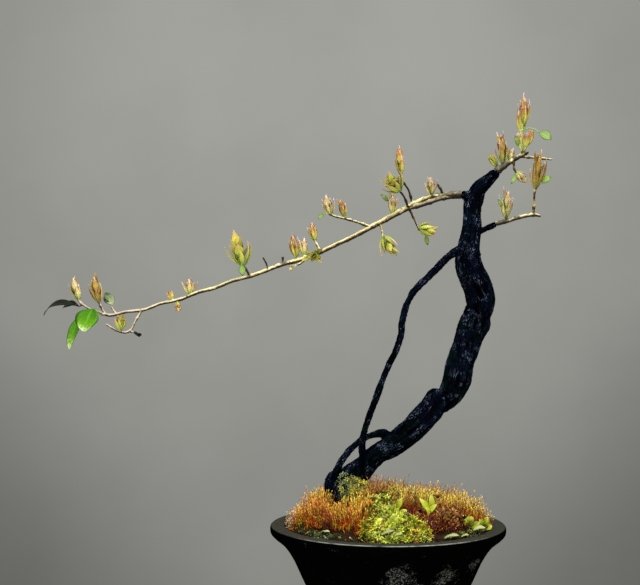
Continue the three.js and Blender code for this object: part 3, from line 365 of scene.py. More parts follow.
def colours(codes):
    """Several sRGB hex colours, parted by spaces, as linear colours."""
    return [linear(code) for code in codes.split()]


def colour_property(name, description, code):
    """A colour that a user may change, with its default as sRGB hex."""
    return bpy.props.FloatVectorProperty(
        name=name, description=description, subtype="COLOR", size=3, min=0, max=1, default=linear(code))


def length_property(name, description, millimetres):
    """A length that a user may change, with its default in millimetres."""
    return bpy.props.FloatProperty(
        name=name, description=description, default=millimetres * MM, min=0, unit="LENGTH", precision=5)


class PotSettings(bpy.types.PropertyGroup):
    """Sizes and colours of the pot and its drain screens."""

    height: length_property("Height", "Height of the pot from its foot to the top of its lip", POT_HEIGHT)
    turning_marks: length_property("Turning marks", "Height of the faint rings left by the wheel", 0.07)
    glaze: colour_property("Glaze", "Black glaze on the wall", "030303")
    dust: colour_property("Dust", "Dry dust on the flat lip", "3c3c34")
    chalk: colour_property("Chalk", "Lime scale in the worn patches", "8d8d89")
    screen: colour_property("Screen", "Moulded mesh over the drain holes", "26272a")


class SoilSettings(bpy.types.PropertyGroup):
    """Colours of the soil and its grit."""

    crumb: length_property("Crumb", "Height of the soil's crumb", 0.9)
    dark: colour_property("Dark soil", "Damp soil", "1c130c")
    light: colour_property("Light soil", "Dry soil", "4a3826")
    grit: colour_property("Grit", "Pale grit between the moss and the rim", "b8b09a")
    grit_size: length_property("Grit size", "Radius of the largest grit", 1.1)


class WoodSettings(bpy.types.PropertyGroup):
    """Relief and colours of the bark."""

    trunk_grid: length_property("Trunk grid", "Size of the faces of the trunk's skin", 1.0)
    branch_grid: length_property("Branch grid", "Size of the faces of the branches' skins", 0.5)
    trunk_relief: length_property("Trunk relief", "Depth of the trunk's strands and cracks", 1.15)
    branch_relief: length_property("Branch relief", "Depth of the branches' bark", 0.16)
    # Black is the old bark's own colour, and kept in the cracks it is also painted shade.
    black: colour_property("Black bark", "Old wet bark in its cracks", "030408")
    blue: colour_property("Blue bark", "Blue tint of the old bark", "0c1628")
    green: colour_property("Green bark", "Film of algae on the old bark", "081c1a")
    # The pale crumbs on the ridges also stand as painted glints.
    bloom_and_glints: colour_property("Bloom", "Pale crumbs on the old bark's ridges", "9cb0cc")
    # Cream, tan and brown are painted by how far the bark faces up: painted light on the upper side,
    # painted shade underneath.
    cream: colour_property("Cream bark", "Upper side of the young branches", "f4ebb4")
    tan: colour_property("Tan bark", "Sides of the young branches", "b39a52")
    brown: colour_property("Brown bark", "Under side of the young branches", "2a180c")


class LeafSettings(bpy.types.PropertyGroup):
    """Thickness, down and colours of the leaves."""

    thickness: length_property("Thickness", "Thickness of a leaf blade", 0.32)
    hair_length: length_property("Hair length", "Length of the down on young leaves", 0.9)
    hairs: bpy.props.FloatProperty(
        name="Hairs", description="Hairs on each square millimetre of a young leaf", default=0.25, min=0)
    amber: colour_property("Amber", "Middle of the amber leaves", "ded25c")
    pink: colour_property("Pink", "Middle of the pink leaves", "e6dc8c")
    lime: colour_property("Lime", "Middle of the lime leaves", "c8d44c")
    fresh: colour_property("Fresh", "Middle of the round fresh leaves", "7c9a44")
    green: colour_property("Green", "Grown leaves", "4c8c0c")
    golden: colour_property("Golden", "Middle of the golden leaves", "d8b444")
    dark: colour_property("Dark", "Shaded grown leaves", "10160b")
    grey: colour_property("Grey", "The dull grey-green leaf", "8c9c70")


class MossSettings(bpy.types.PropertyGroup):
    """Density, thickness and colours of the moss."""

    stalks: bpy.props.FloatProperty(
        name="Stalks", description="Leafy stalks on each square millimetre", default=0.5, min=0)
    strands: bpy.props.FloatProperty(
        name="Strands", description="Tall bright stalks on each square millimetre", default=0.34, min=0)
    capsules: bpy.props.FloatProperty(
        name="Capsules", description="Capsules on bristles on each square millimetre", default=0.06, min=0)
    thickness: length_property("Thickness", "Radius of a leafy stalk", 0.36)
    rust: colour_property("Rust", "Rust moss", "d24a0e")
    gold: colour_property("Gold", "Gold moss", "eca616")
    lime: colour_property("Lime", "Lime moss", "c2d024")
    maroon: colour_property("Maroon", "Maroon moss", "7c1c12")
    grey: colour_property("Grey", "Grey-green moss on the wood", "8b9c60")


class StageSettings(bpy.types.PropertyGroup):
    """Floor, backdrop tone and light."""

    floor: colour_property("Floor", "Plain pale floor", "c9c8c2")
    backdrop: colour_property("Backdrop", "Grey studio backdrop", "989893")
    light: bpy.props.FloatProperty(
        name="Light", description="Power of the soft light above", default=46, min=0, unit="POWER")


def node(tree, kind, inputs=None, stops=None, **settings):
    """Adds a node. Settings are its properties, inputs are values or sockets by name or number."""
    made = tree.nodes.new(kind)
    for name, value in settings.items():
        setattr(made, name, value)
    for name, value in (inputs or {}).items():
        if isinstance(value, bpy.types.NodeSocket):
            tree.links.new(value, made.inputs[name])
        else:
            made.inputs[name].default_value = value
    if stops:
        band = made.color_ramp.elements
        while len(band) < len(stops):
            band.new(0.5)
        for stop, (place, colour) in zip(band, stops):
            stop.position = place
            stop.color = (*colour, 1)
    return made


def finish(name, **constants):
    """A material with one Principled shader whose constants are set on its own sockets."""
    made = bpy.data.materials.new(name)
    made.use_nodes = True
    shader = made.node_tree.nodes["Principled BSDF"]
    for socket, value in constants.items():
        shader.inputs[socket.replace("_", " ")].default_value = value
    return made, made.node_tree, shader


def upturned(tree):
    """How far the surface looks up, from -1 to 1."""
    return axes_of(tree, node(tree, "ShaderNodeNewGeometry").outputs["Normal"])["Z"]


def place_on(tree):
    """The place on the piece, in Object coordinates."""
    return node(tree, "ShaderNodeTexCoord").outputs["Object"]


def coloured(tree, shader, colour):
    """Gives the shader a colour."""
    tree.links.new(colour, shader.inputs["Base Color"])


def mixed(tree, factor, first, second, blend="MIX"):
    """The colour between two colours or colour sockets."""
    first, second = [c if isinstance(c, bpy.types.NodeSocket) else (*c, 1) for c in (first, second)]
    return node(tree, "ShaderNodeMix", {0: factor, 6: first, 7: second}, data_type="RGBA",
                blend_type=blend).outputs[2]


def maths(tree, operation, first, second=0.0, clamp=False):
    """The result of one sum."""
    return node(tree, "ShaderNodeMath", {0: first, 1: second}, operation=operation,
                use_clamp=clamp).outputs[0]


def times(tree, first, second):
    """The product of two values."""
    return maths(tree, "MULTIPLY", first, second)


def plus(tree, first, second):
    """The sum of two values."""
    return maths(tree, "ADD", first, second)


def about_zero(tree, value, share):
    """A value from 0 to 1, moved to lie about 0 and multiplied."""
    return times(tree, maths(tree, "SUBTRACT", value, 0.5), share)


def axes_of(tree, vector):
    """The X, Y and Z sockets of a vector."""
    return node(tree, "ShaderNodeSeparateXYZ", {0: vector}).outputs


def darker(colour, share):
    """A colour with its light multiplied."""
    return [c * share for c in colour]


def ranged(tree, value, low, high, to_low=0.0, to_high=1.0):
    """A value carried smoothly from one range to another."""
    return node(tree, "ShaderNodeMapRange", {0: value, 1: low, 2: high, 3: to_low, 4: to_high},
                interpolation_type="SMOOTHSTEP").outputs[0]


def speckle(tree, place, size, detail=4, roughness=0.6):
    """Noise whose patches are about `size` millimetres across, from 0 to 1."""
    return node(tree, "ShaderNodeTexNoise", {
        "Vector": place, "Scale": 1 / (size * MM), "Detail": detail, "Roughness": roughness}).outputs[0]


def value_of(tree, name, socket="Fac"):
    """A named value that the mesh carries at its points."""
    return node(tree, "ShaderNodeAttribute", attribute_name=name).outputs[socket]


def speckled(name, size, detail, roughness, span, low, high, depth, **constants):
    """A finish of crumbs about `size` millimetres across, from one colour to another."""
    made, tree, shader = finish(name, **constants)
    crumbs = speckle(tree, place_on(tree), size, detail, roughness)
    coloured(tree, shader, mixed(tree, ranged(tree, crumbs, *span), low, high))
    bumped(tree, shader, crumbs, depth)
    return made


def bumped(tree, shader, height, millimetres, strength=1.0):
    """Gives the shader a bump of that many millimetres."""
    bump = node(tree, "ShaderNodeBump", {
        "Height": height, "Distance": millimetres * MM, "Strength": strength})
    tree.links.new(bump.outputs[0], shader.inputs["Normal"])


class Shape:
    """Points in millimetres, faces, and named values at the points, which become one mesh."""

    def __init__(self):
        self.points = []
        self.faces = []
        self.values = {}
        self.finish = 0
        self.finishes = []

    def add(self, points, faces, **values):
        """Adds a closed skin. Each value is one number for all its points, or one for each point."""
        start = len(self.points)
        self.finishes += [self.finish] * len(faces)
        self.points += [tuple(p) for p in points]
        self.faces += [tuple(start + corner for corner in face) for face in faces]
        for name, given in values.items():
            held = self.values.setdefault(name, [])
            held += [0.0] * (start - len(held))
            held += [given] * len(points) if isinstance(given, (int, float)) else list(given)

    def piece(self, name, *materials):
        """The shape as an object of that name."""
        mesh = bpy.data.meshes.new(name)
        mesh.from_pydata([[c * MM for c in p] for p in self.points], [], self.faces)
        for value, held in self.values.items():
            held += [0.0] * (len(self.points) - len(held))
            kept_at_points(mesh, value, held)
        mesh.polygons.foreach_set("material_index", self.finishes)
        return placed(name, mesh, *materials)


def kept_at_points(mesh, name, values, kind="FLOAT", field="value"):
    """Gives the mesh one named value at each of its points."""
    mesh.attributes.new(name, kind, "POINT").data.foreach_set(field, values)


def placed(name, mesh, *materials):
    """A smooth-shaded object of that mesh at the origin."""
    mesh.validate()
    mesh.shade_smooth()
    mesh.name = name
    for material in materials:
        mesh.materials.append(material)
    made = bpy.data.objects.new(name, mesh)
    bpy.context.scene.collection.objects.link(made)
    return made


def baked(piece):
    """Makes the piece the plain mesh that its modifiers give."""
    graph = bpy.context.evaluated_depsgraph_get()
    mesh = bpy.data.meshes.new_from_object(piece.evaluated_get(graph))
    piece.modifiers.clear()
    old = piece.data
    piece.data = mesh
    bpy.data.meshes.remove(old)
    mesh.name = piece.name
    return piece


def handed_over(piece, slot, *nodes):
    """The piece rides on the body and stands for its CAD nodes, which it hides. The slot is not used."""
    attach(piece, "root")
    if nodes:
        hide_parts(*nodes)


def skin(rings, first, last):
    """Points and faces of a closed skin over rings that run counter-clockwise about the way they travel."""
    sides = len(rings[0])
    points = [first, *[p for ring in rings for p in ring], last]
    end = len(points) - 1
    at = lambda ring, side: 1 + ring * sides + side % sides
    faces = []
    for side in range(sides):
        faces.append((0, at(0, side + 1), at(0, side)))
        faces.append((end, at(len(rings) - 1, side), at(len(rings) - 1, side + 1)))
    for ring in range(len(rings) - 1):
        for side in range(sides):
            faces.append((at(ring, side), at(ring, side + 1), at(ring + 1, side + 1), at(ring + 1, side)))
    return points, faces


def on_curve(points, place):
    """The point at a place (0 the first, 1 the second) on the smooth curve through the points."""
    first = min(int(place), len(points) - 2)
    weight = place - first
    p1, p2 = points[first], points[first + 1]
    p0 = points[first - 1] if first else 2 * p1 - p2
    p3 = points[first + 2] if first + 2 < len(points) else 2 * p2 - p1
    before, here, after = [max(1e-4, (b - a).length ** 0.5) for a, b in ((p0, p1), (p1, p2), (p2, p3))]
    start = ((p1 - p0) / before - (p2 - p0) / (before + here) + (p2 - p1) / here) * here
    stop = ((p2 - p1) / here - (p3 - p1) / (here + after) + (p3 - p2) / after) * here
    return (p1 + start * weight + (3 * (p2 - p1) - 2 * start - stop) * weight ** 2
            + (2 * (p1 - p2) + start + stop) * weight ** 3)


def strands(angle, travelled, strength):
    """The bark's broad relief as a factor on the radius: long strands that wind slowly round the wood."""
    winding = math.sin(3 * angle + travelled * 0.05) + 0.7 * math.sin(5 * angle - travelled * 0.07 + 1.3)
    knots = math.sin(travelled * 0.21 + 2 * math.sin(angle + 0.6))
    return 1 + strength * (0.6 * winding + 0.5 * knots)


def limb(run, sides=12, step=2.0, relief=0.0, first=None, last=None, round_end=False, joints=0.0):
    """A closed length of wood, whose leaf joints swell by `joints`. Gives its points, faces and spots:
    middle, two ways across, heading, distance travelled and radius."""
    centres = [Vector(p[:3]) for p in run]
    places, radii = [], []
    for i in range(len(run) - 1):
        parts = max(1, round((centres[i + 1] - centres[i]).length / step))
        for part in range(parts):
            share = part / parts
            ease = share * share * (3 - 2 * share)
            places.append(i + share)
            radii.append(run[i][3] + (run[i + 1][3] - run[i][3]) * (0.5 * share + 0.5 * ease))
    places.append(len(run) - 1)
    radii.append(run[-1][3])
    middles = [on_curve(centres, place) for place in places]
    nudge = 1e-3
    headings = [(on_curve(centres, min(place + nudge, len(run) - 1))
                 - on_curve(centres, max(place - nudge, 0))).normalized() for place in places]
    if first:
        headings[0] = Vector(first).normalized()
    if last:
        headings[-1] = Vector(last).normalized()
    normal = UP.copy() if abs(headings[0].y) > 0.9 else TO_VIEWER.copy()
    travelled = 0.0
    rings, spots = [], []
    for i, (middle, heading) in enumerate(zip(middles, headings)):
        normal = (normal - heading * normal.dot(heading)).normalized()
        across = heading.cross(normal)
        travelled += (middle - middles[i - 1]).length if i else 0
        nearest = travelled / JOINT_SPACING + 0.4
        away = (nearest - round(nearest)) * JOINT_SPACING
        swelling = 1 + joints * math.exp(-(away / JOINT_LENGTH) ** 2)
        ring = []
        for side in range(sides):
            angle = 2 * math.pi * side / sides
            radius = radii[i] * strands(angle, travelled, relief) * swelling
            ring.append(middle + (normal * math.cos(angle) + across * math.sin(angle)) * radius)
        rings.append(ring)
        spots.append((middle, normal.copy(), across, heading, travelled, radii[i]))
    ends = [middles[0].copy(), middles[-1].copy()]
    if round_end:
        dome = radii[-1] * 0.75
        shoulder = headings[-1] * dome * 0.7
        rings.append([p.lerp(middles[-1], 0.3) + shoulder for p in rings[-1]])
        ends[1] += headings[-1] * dome
    return (*skin(rings, *ends), spots)


def wood(name, limbs, grid, relief, fine, material):
    """Grows one skin over all limbs, roughens it along the grain, and keeps the grain at its points."""
    shape = Shape()
    for points, faces, _ in limbs:
        shape.add(points, faces)
    piece = shape.piece(name, material)
    remesh = piece.modifiers.new("One skin", "REMESH")
    remesh.mode = "VOXEL"
    remesh.voxel_size = grid
    remesh.use_smooth_shade = True
    smooth = piece.modifiers.new("Settle", "SMOOTH")
    smooth.factor = 0.5
    smooth.iterations = 2
    baked(piece)
    mesh = piece.data
    count = len(mesh.vertices)
    points = np.empty(count * 3)
    normals = np.empty(count * 3)
    mesh.vertices.foreach_get("co", points)
    mesh.vertex_normals.foreach_get("vector", normals)
    points = points.reshape(-1, 3) / MM
    normals = normals.reshape(-1, 3)
    spots = [spot for _, _, held in limbs for spot in held]
    middles, sideways, across, headings = [np.array([s[k] for s in spots]) for k in range(4)]
    travelled = np.array([s[4] for s in spots])
    radii = np.array([s[5] for s in spots])
    grain = np.empty((count, 3))
    for start in range(0, count, BATCH):
        part = points[start:start + BATCH]
        away = np.linalg.norm(part[:, None] - middles[None], axis=2) - radii
        near = away.argmin(1)
        reach = part - middles[near]
        grain[start:start + BATCH] = np.stack([
            (reach * sideways[near]).sum(1), (reach * across[near]).sum(1),
            travelled[near] + (reach * headings[near]).sum(1)], 1)
    heights = np.empty(count)
    for i, (x, y, along) in enumerate(grain):
        broad = noise.noise((x * 0.16, y * 0.16, along * 0.05))
        strand = 1 - 2 * abs(noise.noise((x * 0.4 * fine, y * 0.4 * fine, along * 0.055 * fine + 40)))
        crumb = noise.noise((x * 0.9 * fine, y * 0.9 * fine, along * 0.4 * fine + 90))
        heights[i] = 0.9 * broad + 0.75 * (strand - 0.55) + 0.4 * crumb
    points += normals * (heights * relief / MM)[:, None]
    mesh.vertices.foreach_set("co", (points * MM).ravel())
    mesh.update()
    grain[:, 2] *= GRAIN_STRETCH
    kept_at_points(mesh, "grain", (grain * MM).ravel(), "FLOAT_VECTOR", "vector")
    kept_at_points(mesh, "ridge", heights)
    return piece


def fissured_black_bark(wood_colours):
    """Old persimmon bark, soaked black, with blue, green and purple films, its cracks kept black as painted
    shade, and pale crumbs on its ridges that also serve as painted glints.
    """
    made, tree, shader = finish("fissured_black_bark", Roughness=0.7, Specular_IOR_Level=0.0)
    grain = value_of(tree, "grain", "Vector")
    place = place_on(tree)
    # Fibres are about 1 mm wide and several long, crumbs about 1 mm, and films of colour about 20 mm.
    fibres = speckle(tree, grain, 1.0, 5, 0.75)
    strokes = speckle(tree, grain, 0.55, 3, 0.7)
    crumbs = speckle(tree, place, 1.1, 4, 0.8)
    films = speckle(tree, place, 22, 3, 0.6)
    patches = speckle(tree, place, 11, 6, 0.7)
    ridge = ranged(tree, value_of(tree, "ridge"), -0.7, 0.5)
    film = mixed(tree, ranged(tree, films, 0.4, 0.5), wood_colours.green, wood_colours.blue)
    film = mixed(tree, ranged(tree, films, 0.54, 0.66), film, linear("140a22"))
    # Painted shade: only the fibres on high ridges take the films' colour, and the low cracks stay black.
    lit = times(tree, ranged(tree, fibres, 0.4, 0.62), ridge)
    colour = mixed(tree, lit, wood_colours.black, film)
    bloom_and_glints = mixed(tree, films, darker(wood_colours.bloom_and_glints, 0.5), wood_colours.bloom_and_glints)
    # Pale specks on the high ridges: crumbs, and also painted glints where the ridges would catch the
    # light.
    specks = maths(tree, "MAXIMUM", ranged(tree, strokes, 0.56, 0.66), ranged(tree, crumbs, 0.6, 0.7))
    specks = times(tree, specks, ranged(tree, patches, 0.49, 0.6))
    specks = times(tree, specks, ranged(tree, ridge, 0.15, 0.5))
    colour = mixed(tree, specks, colour, bloom_and_glints)
    coloured(tree, shader, colour)
    bumped(tree, shader, plus(tree, fibres, times(tree, crumbs, 0.8)), 1.0, 1.0)
    return made


def smooth_young_bark(wood_colours):
    """Thin bark of young branches: cream on its upper side and brown underneath, painted by how far it
    faces up, as painted light from above and painted shade below.
    """
    made, tree, shader = finish("smooth_young_bark", Roughness=0.62, Specular_IOR_Level=0.35)
    grain = value_of(tree, "grain", "Vector")
    place = place_on(tree)
    facing = upturned(tree)
    # Streaks are about 1 mm wide along the wood, and blotches about 6 mm long.
    streaks = speckle(tree, grain, 1.1, 5, 0.6)
    blotches = speckle(tree, place, 6, 5, 0.65)
    # Painted light and shade: the bark is lighter the more it faces up, broken up by blotches.
    lit = plus(tree, facing, about_zero(tree, blotches, 1.6))
    colour = mixed(tree, ranged(tree, lit, -0.3, 0.2), wood_colours.brown, wood_colours.tan)
    colour = mixed(tree, ranged(tree, lit, 0.05, 0.5), colour, wood_colours.cream)
    dark = mixed(tree, 0.5, wood_colours.brown, wood_colours.black)
    colour = mixed(tree, ranged(tree, streaks, 0.55, 0.72, 0, 0.6), colour, dark)
    spots = speckle(tree, place, 3.4, 4, 0.6)
    colour = mixed(tree, ranged(tree, spots, 0.59, 0.66, 0, 0.85), colour, dark)
    # The old value darkens old bark near the trunk and on the dark twigs, and paints shade along the lower
    # strand.
    colour = mixed(tree, value_of(tree, "old"), colour, dark)
    # The youngest twigs, at the far end, are pinkish.
    far = ranged(tree, axes_of(tree, place)["X"], -0.17, -0.24)
    colour = mixed(tree, times(tree, far, 0.6), colour,
                   mixed(tree, ranged(tree, lit, -0.2, 0.35), linear("2c1a18"), linear("c4aca4")))
    coloured(tree, shader, colour)
    bumped(tree, shader, plus(tree, streaks, blotches), 0.3, 0.7)
    return made


# Patches of lime scale on the pot's wall: middle and radius in millimetres. Then the chips in its glaze.
SCALE_PATCHES = [((5, -82, 111), 17), ((43, -66, 109), 15), ((69, -42, 116), 12), ((20, -72, 96), 12)]
CHIPS = [((-48.5, -51, 99), 0.8), ((9, -75, 121), 0.5), ((58, 40, 112), 0.6)]


def near(tree, place, spots, inner=0.5, outer=1.3):
    """How near a place is to any of the spots, from 0 to 1."""
    share = None
    for centre, radius in spots:
        away = node(tree, "ShaderNodeVectorMath", {0: place, 1: [c * MM for c in centre]},
                    operation="DISTANCE").outputs["Value"]
        one = ranged(tree, away, radius * outer * MM, radius * inner * MM)
        share = maths(tree, "MAXIMUM", share, one) if share else one
    return share


def black_glaze(pot):
    """Stoneware under a black glaze, dulled by use: dusty lip, lime scale and a few chips on the wall, and
    a painted highlight along the front edge of the rim.
    """
    made, tree, shader = finish("black_glazed_stoneware", IOR=1.5, Specular_IOR_Level=0.0)
    place = place_on(tree)
    axes = axes_of(tree, place)
    facing = upturned(tree)
    # Scale gathers in patches of about 20 mm, made of crumbs of about 1.5 mm.
    patches = speckle(tree, place, 20, 4, 0.6)
    crumbs = speckle(tree, place, 1.6, 6, 0.75)
    worn = plus(tree, near(tree, place, SCALE_PATCHES, 0.1, 1.5),
                 about_zero(tree, speckle(tree, place, 10, 5, 0.7), 3.0))
    worn = times(tree, ranged(tree, worn, 0.45, 0.85), ranged(tree, crumbs, 0.5, 0.6))
    thin = times(tree, ranged(tree, patches, 0.52, 0.75), ranged(tree, crumbs, 0.55, 0.75))
    chips = near(tree, place, CHIPS, 1.0, 1.3)
    lip = times(tree, ranged(tree, facing, 0.6, 0.95), ranged(tree, axes[2], 0.132, 0.137))
    # Painted highlight: a pale line along the top edge of the rim, on its front only.
    edge = times(tree, ranged(tree, axes[2], 0.1391, 0.1396),
                 ranged(tree, facing, 0.995, 0.9))
    edge = times(tree, edge, ranged(tree, axes[1], -0.055, -0.1))
    dusty = times(tree, lip, ranged(tree, speckle(tree, place, 4, 6, 0.7), 0.3, 0.6, 0.55, 1))
    colour = mixed(tree, times(tree, worn, 0.8), pot.glaze, pot.chalk)
    colour = mixed(tree, times(tree, thin, 0.12), colour, pot.chalk)
    colour = mixed(tree, chips, colour, linear("b9b9b4"))
    colour = mixed(tree, dusty, colour, pot.dust)
    # The painted highlight along the rim's front edge, broken into pieces by noise.
    painted_highlight = times(tree, edge, ranged(tree, speckle(tree, place, 9, 3), 0.3, 0.6, 0.1, 0.7))
    colour = mixed(tree, painted_highlight, colour, linear("a9ac9c"))
    coloured(tree, shader, colour)
    gloss = plus(tree, 0.4, times(tree, worn, 0.5))
    gloss = maths(tree, "ADD", gloss, times(tree, dusty, 0.3), clamp=True)
    tree.links.new(gloss, shader.inputs["Roughness"])
    bumped(tree, shader, plus(tree, times(tree, crumbs, 0.3), worn), 0.25, 0.6)
    return made


def potting_soil(soil):
    """Dark damp potting soil in crumbs of 1 to 3 mm, drier on top of each crumb."""
    return speckled("damp_potting_soil", 2.4, 6, 0.7, (0.4, 0.68), soil.dark, soil.light, 1.2,
                    Roughness=0.95, Specular_IOR_Level=0.2)


def washed_grit(soil):
    """Washed pumice and river grit: matt grains from cream to brown."""
    made, tree, shader = finish("washed_grit", Roughness=0.85, Specular_IOR_Level=0.3)
    place = place_on(tree)
    tint = value_of(tree, "tint")
    colour = node(tree, "ShaderNodeValToRGB", {0: tint}, stops=[
        (0.0, linear("33281b")), (0.45, linear("5d4c34")), (0.72, linear("8c7a58")), (0.82, soil.grit),
        (1.0, linear("f2eee2"))])
    pores = speckle(tree, place, 0.6, 4, 0.7)
    coloured(tree, shader, mixed(tree, ranged(tree, pores, 0.55, 0.7, 0, 0.5), colour.outputs[0],
                                 linear("2a2118")))
    bumped(tree, shader, pores, 0.2)
    return made


def moulded_screen(pot):
    """Moulded polypropylene mesh: dull dark plastic with a faint grain."""
    return speckled("moulded_polypropylene", 0.8, 3, 0.6, (0.3, 0.8, 0, 0.4), pot.screen,
                    linear("4a4a44"), 0.05, Roughness=0.55, IOR=1.49)


def leaf_blade(name, foot_colour, middle, shoulder, tip_colour, vein, gloss):
    """A leaf blade: its colour runs from foot to tip, with a pale midrib and side veins 2 mm apart."""
    made, tree, shader = finish(name, Roughness=gloss, Specular_IOR_Level=0.2, Sheen_Weight=0.03,
                                Sheen_Roughness=0.4)
    along, across, tint = [value_of(tree, value) for value in ("along", "across", "tint")]
    place = place_on(tree)
    cloud = speckle(tree, place, 2.5, 4, 0.6)
    drift = about_zero(tree, cloud, 0.6)
    ramp = node(tree, "ShaderNodeValToRGB", {0: plus(tree, along, drift)}, stops=[
        (0.12, foot_colour), (0.42, middle), (0.74, shoulder), (0.92, tip_colour)])
    width = maths(tree, "ABSOLUTE", across)
    midrib = ranged(tree, width, 0.14, 0.02)
    comb = plus(tree, times(tree, along, 62), times(tree, width, -16))
    side_veins = ranged(tree, maths(tree, "SINE", comb), 0.72, 0.98)
    veins = maths(tree, "MAXIMUM", times(tree, side_veins, 0.5), midrib)
    margin = times(tree, ranged(tree, width, 0.76, 0.96), 0.75)
    colour = mixed(tree, margin, ramp.outputs[0], darker(shoulder, 0.25))
    colour = mixed(tree, times(tree, veins, 0.5), colour, vein)
    shade = ranged(tree, tint, 0, 1, 0.62, 1.22)
    colour = node(tree, "ShaderNodeHueSaturation", {"Value": shade, "Color": colour}).outputs[0]
    coloured(tree, shader, colour)
    bumped(tree, shader, maths(tree, "SUBTRACT", cloud, veins), 0.12, 0.8)
    return made


def leaf_down(name, colour):
    """Fine white down on young leaves."""
    made, tree, shader = finish(name, Roughness=0.7, Specular_IOR_Level=0.2)
    coloured(tree, shader, mixed(tree, value_of(tree, "tint"), colour, linear("fff4e6")))
    return made


def moss_finish(name, root, middle, tip, other, other_share, tilt=0.0):
    """Moss stalks: dark at the root as painted shade, bright in the middle, and paler at the tip, partly as
    painted light. Drifts of another colour grow commoner to the right by `tilt` for each metre, and the
    patches painted on the cushion show."""
    made, tree, shader = finish(name, Roughness=0.65, Specular_IOR_Level=0.25)
    up, tint = value_of(tree, "up"), value_of(tree, "tint")
    place = place_on(tree)
    # The drifts of colour are about 14 mm across, and broken up from stalk to stalk.
    drift = plus(tree, speckle(tree, place, 14, 3, 0.6),
                  about_zero(tree, tint, 0.34))
    # Painted shade and light: the root colours are dark as shade low in the cushion, the tips pale partly
    # as light on them, and the stray colour and the patches run dark to pale the same way.
    low = [0.55 * a + 0.45 * b for a, b in zip(root, middle)]
    ramp = node(tree, "ShaderNodeValToRGB", {0: up}, stops=[
        (0.0, root), (0.45, low), (0.75, middle), (1.0, tip)])
    side = plus(tree, axes_of(tree, place)["X"],
                 -BASE_MOSS["at"][0] * MM)
    drift = plus(tree, drift, times(tree, side, tilt))
    turned = ranged(tree, drift, 0.66 - other_share * 0.3, 0.74 - other_share * 0.3)
    second = mixed(tree, ranged(tree, up, 0.2, 0.85), darker(other, 0.22), other)
    second = mixed(tree, ranged(tree, up, 0.75, 1.0), second, [min(1, c * 1.3 + 0.02) for c in other])
    colour = mixed(tree, turned, ramp.outputs[0], second)
    stray = times(tree, maths(tree, "FRACT", times(tree, tint, 3.7)), 0.6)
    for kind, (low, high, _) in MOSS_PATCHES.items():
        painted = ranged(tree, plus(tree, value_of(tree, kind), stray), 0.7, 0.85)
        patch = mixed(tree, ranged(tree, up, 0.25, 1.0), linear(low), linear(high))
        colour = mixed(tree, painted, colour, patch)
    shade = ranged(tree, maths(tree, "FRACT", times(tree, tint, 7.3)), 0, 1, 0.32, 1.65)
    colour = node(tree, "ShaderNodeHueSaturation", {"Value": shade, "Color": colour}).outputs[0]
    coloured(tree, shader, colour)
    return made


def moss_bed(name, low, high):
    """The felt of old stems under the moss: dark, partly as painted shade in the hollows between the
    stalks, with crumbs of about 1 mm.
    """
    return speckled(name, 1.4, 5, 0.7, (0.35, 0.7), low, high, 1.0, Roughness=0.95,
                    Specular_IOR_Level=0.15)


